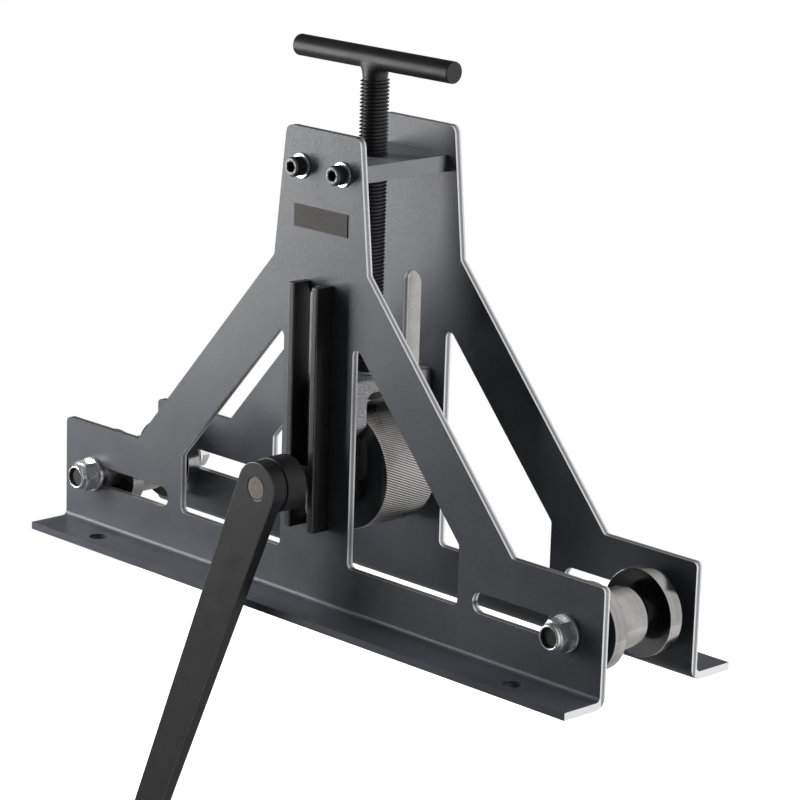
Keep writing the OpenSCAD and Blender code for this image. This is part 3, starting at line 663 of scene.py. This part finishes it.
# %% Feed screw
PITCH, THREAD_R = 3 * MM, 12 * MM
CREST_SHARE, ROOT_SHARE, DEPTH_SHARE = 0.125, 0.25, 0.6134
ROOT_R = THREAD_R - DEPTH_SHARE * PITCH
THREAD_STEPS, THREAD_TURNS, DOUBLINGS = 40, 77, 7
JOURNAL_R, SPIGOT_R = 8 * MM, 6.7 * MM
screw_lo, screw_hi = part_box("lead_screw")
thread_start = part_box("thrust_collar")[1].z
bar_lo, bar_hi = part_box("t_handle")
handle_r = 9 * MM
handle_z = bar_hi.z - handle_r
thread_end = thread_start + THREAD_TURNS * PITCH


def drawn(bm, loop, radius, height):
    """Grows an open edge loop to a circle of that radius and height."""
    grown = bmesh.ops.extrude_edge_only(bm, edges=loop)["geom"]
    for corner in grown:
        if isinstance(corner, bmesh.types.BMVert):
            flat = Vector((corner.co.x, corner.co.y)).normalized() * radius
            corner.co = (flat.x, flat.y, height)
    return [g for g in grown if isinstance(g, bmesh.types.BMEdge)]


bm = bmesh.new()
flank = (1 - ROOT_SHARE - CREST_SHARE) / 2 * PITCH
outline = [(ROOT_R, 0), (THREAD_R, flank), (THREAD_R, flank + CREST_SHARE * PITCH),
           (ROOT_R, 2 * flank + CREST_SHARE * PITCH), (ROOT_R, PITCH)]
corners = [bm.verts.new((r, 0, thread_start - 1.5 * PITCH + h)) for r, h in outline]
edges = [bm.edges.new(pair) for pair in zip(corners, corners[1:])]
bmesh.ops.spin(bm, geom=corners + edges, cent=(0, 0, 0), axis=(0, 0, 1),
               dvec=(0, 0, PITCH / THREAD_STEPS), angle=math.tau, steps=THREAD_STEPS,
               use_merge=False)
for doubling in range(DOUBLINGS):
    copy = bmesh.ops.duplicate(bm, geom=bm.verts[:] + bm.edges[:] + bm.faces[:])["geom"]
    bmesh.ops.translate(bm, vec=(0, 0, 2 ** doubling * PITCH),
                        verts=[g for g in copy if isinstance(g, bmesh.types.BMVert)])
bmesh.ops.remove_doubles(bm, verts=bm.verts, dist=0.002 * MM)
for height, facing in ((thread_start, -1), (thread_end, 1)):
    bmesh.ops.bisect_plane(bm, geom=bm.verts[:] + bm.edges[:] + bm.faces[:],
                           plane_co=(0, 0, height), plane_no=(0, 0, facing), clear_outer=True)
ends = {height: [e for e in bm.edges if e.is_boundary and abs(e.verts[0].co.z - height) < 1e-6]
        for height in (thread_start, thread_end)}
low_end = drawn(bm, ends[thread_start], JOURNAL_R, thread_start)
low_end = drawn(bm, low_end, JOURNAL_R, screw_lo.z + 1 * MM)
low_end = drawn(bm, low_end, JOURNAL_R - 1 * MM, screw_lo.z)
high_end = drawn(bm, ends[thread_end], ROOT_R, thread_end)
high_end = drawn(bm, high_end, ROOT_R, handle_z - handle_r)
high_end = drawn(bm, high_end, SPIGOT_R, handle_z - handle_r)
high_end = drawn(bm, high_end, SPIGOT_R, screw_hi.z)
for loop in (low_end, high_end):
    bmesh.ops.edgeloop_fill(bm, edges=loop)
bmesh.ops.remove_doubles(bm, verts=bm.verts, dist=0.002 * MM)
bmesh.ops.recalc_face_normals(bm, faces=bm.faces)
paint_faces(bm, 1, lambda c, n: abs(n.z) < 0.3 and c.xy.length > THREAD_R - 0.1 * MM)
dressed("threaded_screw", bm, [oiled_black, thread_crest], "lead_screw", even=False)

# %% [markdown]
# ## T-handle
# The handle is a plain bar that flows into the screw through a soft fillet, as forged and
# ground metal does. Two shells, a bar and a flaring neck, are fused by a voxel remesh and
# smoothed, which makes the fillet. Only the middle is made that way. The bar's ends are
# drawn out from it afterwards, so that they stay crisp.

# %% T-handle
FUSE_VOXEL = 0.55 * MM
MIDDLE, ARM_LOOP = 27 * MM, 45 * MM
FILLET_PASSES = 26
ROUND_FROM, ROUND_OVER = 17 * MM, 6 * MM
TOP_FROM, TOP_OVER = 2 * MM, 3 * MM


def oval(wide, deep):
    """Radius of an ellipse at an angle."""
    return lambda angle: wide * deep / math.hypot(deep * math.cos(angle), wide * math.sin(angle))


def fused(shells, voxel):
    """One closed skin round overlapping shells."""
    mesh = bpy.data.meshes.new("fusing")
    whole = joined(shells)
    whole.to_mesh(mesh)
    whole.free()
    helper = bpy.data.objects.new("fusing", mesh)
    bpy.context.scene.collection.objects.link(helper)
    remesh = helper.modifiers.new("fuse", "REMESH")
    remesh.mode, remesh.voxel_size = "VOXEL", voxel
    bm = bmesh.new()
    bm.from_object(helper, bpy.context.evaluated_depsgraph_get())
    bpy.data.objects.remove(helper)
    bpy.data.meshes.remove(mesh)
    return bm


along_x = Matrix.Translation((0, 0, handle_z)) @ Matrix.Rotation(math.radians(90), 4, "Y")
bar = moved(ring_built([(handle_r, -1.4 * MIDDLE), (handle_r, 1.4 * MIDDLE)]), along_x)
flare_bottom = bar_lo.z
neck = ring_built([
    (10.4 * MM, flare_bottom + 0.2 * MM), (10.5 * MM, flare_bottom + 2 * MM),
    (oval(12.0 * MM, 10.2 * MM), handle_z - 9.6 * MM),
    (oval(15.0 * MM, 9.6 * MM), handle_z - 7.4 * MM),
    (oval(16.5 * MM, 9.1 * MM), handle_z - 5.0 * MM),
    (oval(16.5 * MM, 8.4 * MM), handle_z - 2.0 * MM),
    (oval(15.5 * MM, 7.0 * MM), handle_z + 0.5 * MM),
    (oval(14 * MM, 5.0 * MM), handle_z + 2 * MM),
])
bm = fused([bar, neck], FUSE_VOXEL)
for height, facing in ((-MIDDLE, -1), (MIDDLE, 1)):
    bmesh.ops.bisect_plane(bm, geom=bm.verts[:] + bm.edges[:] + bm.faces[:],
                           plane_co=(height, 0, 0), plane_no=(facing, 0, 0), clear_outer=True)
soft = [v for v in bm.verts if abs(v.co.x) < MIDDLE - 1 * MM and v.co.z > flare_bottom + 1 * MM]
for _ in range(FILLET_PASSES):
    bmesh.ops.smooth_vert(bm, verts=soft, factor=0.5, use_axis_x=True, use_axis_y=True,
                          use_axis_z=True)
for v in bm.verts:
    from_axis = Vector((0, v.co.y, v.co.z - handle_z))
    keep = min(1.0, max(0.0, (abs(v.co.x) - ROUND_FROM) / ROUND_OVER))
    if v.co.z > handle_z + TOP_FROM or keep:
        keep = max(keep, min(1.0, (v.co.z - handle_z - TOP_FROM) / TOP_OVER))
        on_bar = from_axis.normalized() * handle_r
        v.co.y += (on_bar.y - v.co.y) * keep
        v.co.z += (handle_z + on_bar.z - v.co.z) * keep
for end in (-1, 1):
    loop = [e for e in bm.edges if e.is_boundary and e.verts[0].co.x * end > 0]
    for radius, along in ((handle_r, ARM_LOOP), (handle_r, bar_hi.x - 0.9 * MM),
                          (handle_r - 0.25 * MM, bar_hi.x - 0.27 * MM),
                          (handle_r - 0.9 * MM, bar_hi.x)):
        grown = bmesh.ops.extrude_edge_only(bm, edges=loop)["geom"]
        for v in grown:
            if isinstance(v, bmesh.types.BMVert):
                flat = Vector((v.co.y, v.co.z - handle_z)).normalized() * radius
                v.co = (end * along, flat.x, handle_z + flat.y)
        loop = [g for g in grown if isinstance(g, bmesh.types.BMEdge)]
    bmesh.ops.edgeloop_fill(bm, edges=loop)
bmesh.ops.recalc_face_normals(bm, faces=bm.faces)
dressed("forged_t_handle", bm, [oiled_black], "t_handle", crisp=50)

# %% [markdown]
# ## Collars on the feed screw
# A black collar and a bright washer carry the screw on the yoke, and a pinned collar below
# keeps it there. All three are plain rings, so the helper for washers makes them.

# %% Collars on the feed screw
lo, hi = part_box("thrust_collar")
dressed("black_thrust_collar", washer(hi.x, JOURNAL_R, lo.z, hi.z, 0.8 * MM),
        [black_oxide], "thrust_collar")
lo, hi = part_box("thrust_washer")
dressed("bright_thrust_washer", washer(hi.x, JOURNAL_R, lo.z, hi.z, 0.4 * MM),
        [zinc], "thrust_washer")
lo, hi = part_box("lock_collar")
dressed("black_lock_collar", washer(hi.x, JOURNAL_R, lo.z, hi.z, 0.6 * MM),
        [black_oxide], "lock_collar")

# %% [markdown]
# ## Yoke
# The yoke is a casting, so its corners are soft and its skin is dimpled. A voxel remesh gives
# an even skin to work on, smoothing softens its corners, and a fine noise moves the skin, by
# about a tenth of a millimetre inward at most and by less outward.

# %% Yoke
YOKE_VOXEL = 0.9 * MM
SKIN_PASSES = 3
DIMPLE, DIMPLE_SIZE, DIMPLE_SINK = 0.07 * MM, 1.5 * MM, 0.6
bm = fused([solid_copy("yoke")], YOKE_VOXEL)
for _ in range(SKIN_PASSES):
    bmesh.ops.smooth_vert(bm, verts=bm.verts, factor=0.5, use_axis_x=True, use_axis_y=True,
                          use_axis_z=True)
bm.normal_update()
yoke_lo, yoke_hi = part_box("yoke")
print("height of the yoke's solid in mm:", round((yoke_hi.z - yoke_lo.z) / MM, 1))
for v in bm.verts:
    v.co += v.normal * DIMPLE * (noise.noise(v.co / DIMPLE_SIZE) - DIMPLE_SINK)
dressed("hammered_yoke", bm, [hammered_grey], "yoke", crisp=60, even=False)

# %% [markdown]
# ## Drive roller
# The roller's rim is knurled: fine slanting ridges give it its grip. A ring of four corners
# to a ridge, grown along the roller while it turns a little, gives real ridges that catch the
# light as on the object.

# %% Drive roller
TEETH, SLANT = 146, math.radians(22)
KNURL_STEPS = 40
ROLLER_BORE = 10.02 * MM
lo, hi = roller_lo, roller_hi
width = hi.y - lo.y
chamfer = 1 * MM
knurl = ridged(roller_r, TOOTH_DEPTH, TEETH)
full_turn = width * math.tan(SLANT) / roller_r
steps = [(lo.y + chamfer * 0.6 + (width - 1.2 * chamfer) * i / KNURL_STEPS, i / KNURL_STEPS)
         for i in range(KNURL_STEPS + 1)]
rings = [(ROLLER_BORE, lo.y), (roller_r - chamfer, lo.y)]
rings += [(knurl, y, full_turn * share) for y, share in steps]
rings += [(roller_r - chamfer, hi.y, full_turn), (ROLLER_BORE, hi.y, full_turn),
          (ROLLER_BORE, lo.y)]
bm = moved(ring_built(rings, sides=4 * TEETH, bored=True), lying("drive_shaft"))
# The roller's flat ends get the darker faced steel, painted shade.
paint_faces(bm, 1, lambda c, n: abs(n.y) > 0.9)
dressed("knurled_roller", bm, [roller_steel_painted_light, faced_steel_painted_dark], "drive_roller", crisp=80, even=False)

# %% [markdown]
# ## Drive shaft and crank
# The shaft ends flush with the crank arm, where its sawn face shows. The hub is turned, with
# a narrower step next to the arm, and the arm is a flat bar with broken edges. Rings make
# the shaft and the hub, and a bevel on a copy of the exact solid is enough for the arm.

# %% Drive shaft and crank
lo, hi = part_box("drive_shaft")
shaft_r = (hi.x - lo.x) / 2
bm = moved(ring_built([(shaft_r - 0.7 * MM, lo.y), (shaft_r, lo.y + 0.7 * MM),
                       (shaft_r, hi.y - 1 * MM), (shaft_r - 1 * MM, hi.y)]), lying("drive_shaft"))
dressed("ground_shaft", bm, [sawn_steel], "drive_shaft", "roller_key", "hub_key")

lo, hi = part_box("crank_hub")
hub_r = (hi.x - lo.x) / 2
HUB_STEP = 3.6 * MM
step_y = lo.y + HUB_STEP
bm = moved(ring_built([
    (shaft_r, lo.y), (0.94 * hub_r, lo.y), (0.94 * hub_r, step_y), (hub_r - 0.8 * MM, step_y),
    (hub_r - 0.23 * MM, step_y + 0.23 * MM), (hub_r, step_y + 0.8 * MM),
    (hub_r, hi.y - 0.8 * MM), (hub_r - 0.23 * MM, hi.y - 0.23 * MM), (hub_r - 0.8 * MM, hi.y),
    (shaft_r, hi.y), (shaft_r, lo.y)], bored=True), lying("drive_shaft"))
dressed("turned_hub", bm, [black_oxide], "crank_hub")

bm = solid_copy("crank_arm")
# The arm's rounded edges get the lighter black, partly a painted highlight.
for face in soften(bm, 0.7 * MM):
    face.material_index = 1
dressed("flat_crank_arm", bm, [black_oxide, black_corner_wear_and_highlight], "crank_arm")

lo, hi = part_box("rear_collar")
bm = moved(washer((hi.x - lo.x) / 2, shaft_r, lo.y, hi.y, 0.8 * MM), lying("rear_collar"))
dressed("black_rear_collar", bm, [black_oxide], "rear_collar", "collar_set_screw")

# %% [markdown]
# ## Grip
# The grip is a plastic barrel that spins on a bolt. A few rings give its crown and its
# rounded ends, and a recess hides the bolt's head.

# %% Grip
FACE_SHARE, CHAMFER_SLOPE = 0.97, 0.55
CROWN_STEPS = 12
GRIP_BORE, RECESS_R, RECESS_DEPTH = 6.05 * MM, 11 * MM, 7.8 * MM


def hex_chamfer(flats, start, slope):
    """Height of a hexagon's chamfer at an angle, above or below its flat face."""
    return lambda angle: start + slope * max(0.0, hexagon(flats)(angle) - FACE_SHARE * flats / 2)


def hex_rings(flats, start, end):
    """Rings of a hexagon whose corners are chamfered at both faces."""
    return [(FACE_SHARE * flats / 2, start),
            (hexagon(flats), hex_chamfer(flats, start, CHAMFER_SLOPE)),
            (hexagon(flats), hex_chamfer(flats, end, -CHAMFER_SLOPE)),
            (FACE_SHARE * flats / 2, end)]


lo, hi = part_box("grip")
grip_r, grip_end = (hi.x - lo.x) / 2, 14 * MM
length = hi.y - lo.y
recess = lo.y + RECESS_DEPTH
shares = [i / CROWN_STEPS for i in range(CROWN_STEPS + 1)]
crown = [(grip_end + (grip_r - grip_end) * math.sin(math.pi * (0.08 + 0.84 * share)) ** 0.8,
          lo.y + length * (0.05 + 0.9 * share)) for share in shares]
bm = moved(ring_built([
    (GRIP_BORE, recess), (RECESS_R, recess), (RECESS_R, lo.y + 0.8 * MM),
    (RECESS_R + 0.8 * MM, lo.y), (grip_end - 2 * MM, lo.y),
    (grip_end - 0.4 * MM, lo.y + 0.9 * MM)]
    + crown + [(grip_end - 0.4 * MM, hi.y - 0.9 * MM), (grip_end - 2 * MM, hi.y),
               (GRIP_BORE, hi.y), (GRIP_BORE, recess)], bored=True), lying("grip"))
dressed("barrel_grip", bm, [grip_plastic], "grip", crisp=45)

lo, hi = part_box("grip_bolt")
flats, bolt_r, bolt_head = 18 * MM, 6 * MM, 7.5 * MM
bm = moved(ring_built(hex_rings(flats, lo.y, lo.y + bolt_head) + [
    (bolt_r, lo.y + bolt_head), (bolt_r, hi.y - 1 * MM), (bolt_r - 1 * MM, hi.y)]),
    lying("grip"))
dressed("grip_hex_bolt", bm, [zinc], "grip_bolt")
lo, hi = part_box("grip_nut")
bm = moved(ring_built([(bolt_r, lo.y)] + hex_rings(flats, lo.y, hi.y)
                      + [(bolt_r, hi.y), (bolt_r, lo.y)], bored=True), lying("grip"))
dressed("grip_hex_nut", bm, [zinc], "grip_nut")
lo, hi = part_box("grip_washer")
bm = moved(washer((hi.x - lo.x) / 2, bolt_r, lo.y, hi.y), lying("grip"))
dressed("grip_plain_washer", bm, [zinc], "grip_washer")

# %% [markdown]
# ## Lower rollers
# Both sides are alike: on each axle bolt sit a disc, a core roller and a disc, each turned
# and lightly chamfered. A lock nut closes the bolt: a hexagon, then a round collar that curls
# over a plastic ring, with the bolt's tip sunk inside it.

# %% Lower rollers
RIM_EDGE = 0.8 * MM
DISC_SIDES, CORE_SIDES = 160, 128
BORE, RING_BORE, AXLE_R = 10.05 * MM, 10 * MM, 8 * MM
NECK_R, CORE_NECK = 11.6 * MM, 13.9 * MM
AXLE_WASHER, AXLE_HEAD, TIP_SIDE = 3 * MM, 10 * MM, -60 * MM
BOLT_R, BOLT_TIP_R = 7.95 * MM, 6.2 * MM


def disc_rings(radius, start, end, bore=BORE):
    edge = RIM_EDGE
    return [(bore, start), (radius - edge, start), (radius - 0.28 * edge, start + 0.28 * edge),
            (radius, start + edge), (radius, end - edge),
            (radius - 0.28 * edge, end - 0.28 * edge), (radius - edge, end), (bore, end),
            (bore, start)]


for side in ("left", "right"):
    on_axle = lying(f"{side}_core_roller")
    for part in ("front_disc", "rear_disc"):
        lo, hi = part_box(f"{side}_{part}")
        bm = moved(ring_built(disc_rings((hi.x - lo.x) / 2, lo.y, hi.y), DISC_SIDES, True),
                   on_axle)
        # The discs' flat faces get the darker faced steel, painted shade.
        paint_faces(bm, 1, lambda c, n: abs(n.y) > 0.9)
        dressed(f"{side}_turned_{part}", bm, [lathe_steel[side], faced_steel_painted_dark], f"{side}_{part}")

    lo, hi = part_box(f"{side}_core_roller")
    core_r, core_end = (hi.x - lo.x) / 2, hi.y - CORE_NECK
    body = disc_rings(core_r, lo.y, core_end)[:-2]
    bm = moved(ring_built(body + [(NECK_R, core_end), (NECK_R, hi.y - 0.4 * MM),
                                  (NECK_R - 0.4 * MM, hi.y), (BORE, hi.y), (BORE, lo.y)],
                          CORE_SIDES, True), on_axle)
    dressed(f"{side}_turned_core", bm, [lathe_steel[side]], f"{side}_core_roller",
            f"{side}_core_bush")

    for part in ("front_ring", "rear_ring"):
        lo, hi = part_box(f"{side}_{part}")
        bm = moved(washer((hi.x - lo.x) / 2, RING_BORE, lo.y, hi.y, 0.5 * MM), on_axle)
        dressed(f"{side}_spacer_{part}", bm, [ground_steel], f"{side}_{part}")

    lo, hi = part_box(f"{side}_axle_washers")
    outer, inner = hi.y, hi.y - AXLE_WASHER
    bm = joined([moved(washer((hi.x - lo.x) / 2, AXLE_R, start, end, 0.5 * MM), on_axle)
                 for start, end in ((inner, outer), (-outer, -inner))])
    dressed(f"{side}_axle_plain_washers", bm, [zinc], f"{side}_axle_washers")

    lo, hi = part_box(f"{side}_axle_nut")
    flats, collar_r, collar_h = 24 * MM, 10.75 * MM, 4.5 * MM
    hex_start = lo.y + collar_h
    bm = moved(ring_built([
        (AXLE_R, hi.y), (FACE_SHARE * flats / 2, hi.y),
        (hexagon(flats), hex_chamfer(flats, hi.y, -CHAMFER_SLOPE)),
        (hexagon(flats), hex_chamfer(flats, hex_start + 0.3 * MM, 0.75)),
        (FACE_SHARE * flats / 2, hex_start + 0.3 * MM),
        (collar_r + 0.2 * MM, hex_start - 0.2 * MM),
        (collar_r, hex_start - 0.8 * MM), (collar_r, lo.y + 2.0 * MM),
        (collar_r - 0.2 * MM, lo.y + 1.2 * MM), (collar_r - 0.7 * MM, lo.y + 0.45 * MM),
        (collar_r - 1.3 * MM, lo.y + 0.05 * MM), (collar_r - 1.7 * MM, lo.y),
        (collar_r - 2.2 * MM, lo.y + 0.2 * MM), (collar_r - 2.5 * MM, lo.y + 0.6 * MM),
        (AXLE_R + 0.1 * MM, lo.y + 1.1 * MM), (AXLE_R, lo.y + 2.0 * MM), (AXLE_R, hi.y)],
        bored=True), on_axle)
    axis = middle(f"{side}_axle_nut")
    ring_r = AXLE_R + 0.4 * MM
    paint_faces(bm, 1, lambda c, n: math.hypot(c.x - axis.x, c.z - axis.z) < ring_r)
    dressed(f"{side}_lock_nut", bm, [zinc, nylon], f"{side}_axle_nut", crisp=40)

    lo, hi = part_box(f"{side}_axle_bolt")
    head = hi.y - AXLE_HEAD
    bm = moved(ring_built([(BOLT_TIP_R, lo.y), (BOLT_R - 0.05 * MM, lo.y + 1.5 * MM),
                           (BOLT_R, head)] + hex_rings(flats, head, hi.y)), on_axle)
    paint_faces(bm, 1, lambda c, n: c.y < TIP_SIDE and (n.y < -0.9 or c.y > lo.y + 1.4 * MM))
    dressed(f"{side}_axle_hex_bolt", bm, [zinc, black_oxide], f"{side}_axle_bolt")

# %% [markdown]
# ## Solids that stay
# The shaft's two bushes, the lock collar's pin and the axle tubes are right as they are, and
# mostly hidden. They only need their finishes.

# %% Solids that stay
STAYING = {"front_shaft_bush": bronze, "rear_shaft_bush": bronze, "lock_pin": ground_steel,
           "left_axle_tube": ground_steel, "right_axle_tube": ground_steel}
for node, metal in STAYING.items():
    mesh = frame["nodes"][node].data
    mesh.materials.clear()
    mesh.materials.append(metal)
print("solids with a finish of their own:", len(STAYING))

# %% [markdown]
# ## Floor, white background and lamps
# The camera sees a plain white world. The metals see another one, as in a studio: bright
# behind the object's right, which is what their sides and the cut edges mirror, and nearly
# dark all round the rest. The floor is a pale disc just below the crank, which keeps the
# shadow. It glows for the camera, and for mirrored light only on that bright side.

# %% Floor and world
FLOOR_GAP, FLOOR_R = 12 * MM, 0.95
BRIGHT_SIDE = (0.71, 0.7, 0.0)
floor_z = cad_box[0].z - FLOOR_GAP
bm = bmesh.new()
bmesh.ops.create_circle(bm, cap_ends=True, segments=SIDES, radius=FLOOR_R)
bmesh.ops.translate(bm, vec=(0, 0, floor_z), verts=bm.verts)
floor_mesh = bpy.data.meshes.new("floor")
bm.to_mesh(floor_mesh)
bm.free()
floor = bpy.data.objects.new("floor", floor_mesh)
bpy.context.scene.collection.objects.link(floor)

floor_paint = bpy.data.materials.new("pale floor")
floor_paint.use_nodes = True
shader = floor_paint.node_tree.nodes["Principled BSDF"]
shader.inputs["Roughness"].default_value = 0.9
path = add(floor_paint, "LightPath")
seen = path.outputs["Is Camera Ray"]
pale = add(floor_paint, "MapRange", {"Value": seen, "To Min": 0.3, "To Max": 0.85}).outputs[0]
floor_paint.node_tree.links.new(pale, shader.inputs["Base Color"])
spot = add(floor_paint, "TexCoord").outputs["Object"]
across = add(floor_paint, "VectorMath", {0: spot, 1: BRIGHT_SIDE},
             operation="DOT_PRODUCT").outputs["Value"]
lit_side = add(floor_paint, "MapRange", {"Value": across, "From Min": 0.1,
                                         "From Max": 0.6}).outputs[0]
mirrored = add(floor_paint, "Math", {0: path.outputs["Is Glossy Ray"], 1: lit_side},
               operation="MULTIPLY").outputs[0]
glow = add(floor_paint, "Math", {0: seen, 1: mirrored}, operation="MAXIMUM").outputs[0]
floor_paint.node_tree.links.new(glow, shader.inputs["Emission Strength"])
shader.inputs["Emission Color"].default_value = (0.55, 0.55, 0.55, 1)
floor_mesh.materials.append(floor_paint)

world = bpy.data.worlds.new("studio")
bpy.context.scene.world = world
world.use_nodes = True
tree = world.node_tree
tree.nodes.clear()
path = add(world, "LightPath")
direction = add(world, "TexCoord").outputs["Generated"]
towards_right_rear = add(world, "VectorMath", {0: direction, 1: BRIGHT_SIDE},
                         operation="DOT_PRODUCT").outputs["Value"]
seen_in_metal = add(world, "MapRange", {"Value": towards_right_rear, "From Min": -0.05,
                                        "From Max": 0.45, "To Min": 0.05, "To Max": 1.0})
gloss = add(world, "Math", {0: path.outputs["Is Glossy Ray"],
                            1: path.outputs["Is Transmission Ray"]}, operation="MAXIMUM")
AMBIENT = 0.04
other = add(world, "Mix", {0: gloss.outputs[0], 2: AMBIENT,
                           3: seen_in_metal.outputs[0]}).outputs[0]
strength = add(world, "Mix", {0: path.outputs["Is Camera Ray"], 2: other, 3: 1.0}).outputs[0]
background = add(world, "Background", {"Color": (1, 1, 1, 1), "Strength": strength})
add(world, "OutputWorld", {"Surface": background.outputs[0]})
print("floor at", round(floor_z, 4))

# %% [markdown]
# A soft lamp is an area lamp aimed at the object. Its power grows with the square of its
# distance, so the helper takes a level instead: at level 1, a surface that faces the lamp
# renders about as its colour is written. The left lamp stands close, so its light fades from
# the plates' top left to their bottom right. The top and back lamps show the faces that it
# misses, and the right lamp the sides. Those three stay out of mirrored light, where they
# would show as white spots.

# %% Lamps
def soft_lamp(name, place, target, wide, high, level, in_metal=True):
    lamp = bpy.data.objects.new(name, bpy.data.lights.new(name, "AREA"))
    place, target = Vector(place), Vector(target)
    lamp.data.shape, lamp.data.size, lamp.data.size_y = "RECTANGLE", wide, high
    lamp.data.energy = level * math.pi ** 2 * (target - place).length_squared
    lamp.location = place
    lamp.rotation_euler = (target - place).to_track_quat("-Z", "Y").to_euler()
    lamp.visible_camera = False
    lamp.visible_glossy = in_metal
    bpy.context.scene.collection.objects.link(lamp)
    print(name, "at level", level)


soft_lamp("left lamp", (-0.95, -0.68, 0.33), (-0.1, -0.05, 0.22), 0.5, 0.8, 1.25)
soft_lamp("top lamp", (-0.85, -0.3, 1.0), (-0.25, 0, 0.1), 0.5, 0.5, 0.8, in_metal=False)
soft_lamp("right lamp", (1.1, 0.7, 0.1), (0.1, 0, 0.15), 0.7, 0.9, 1.9, in_metal=False)
soft_lamp("back lamp", (-0.5, 1.2, 0.9), (0, 0, 0.2), 0.7, 0.7, 0.6, in_metal=False)

# %% [markdown]
# ## View settings
# The Standard view shows each colour as it is written.

# %% View settings
bpy.context.scene.view_settings.view_transform = "Standard"
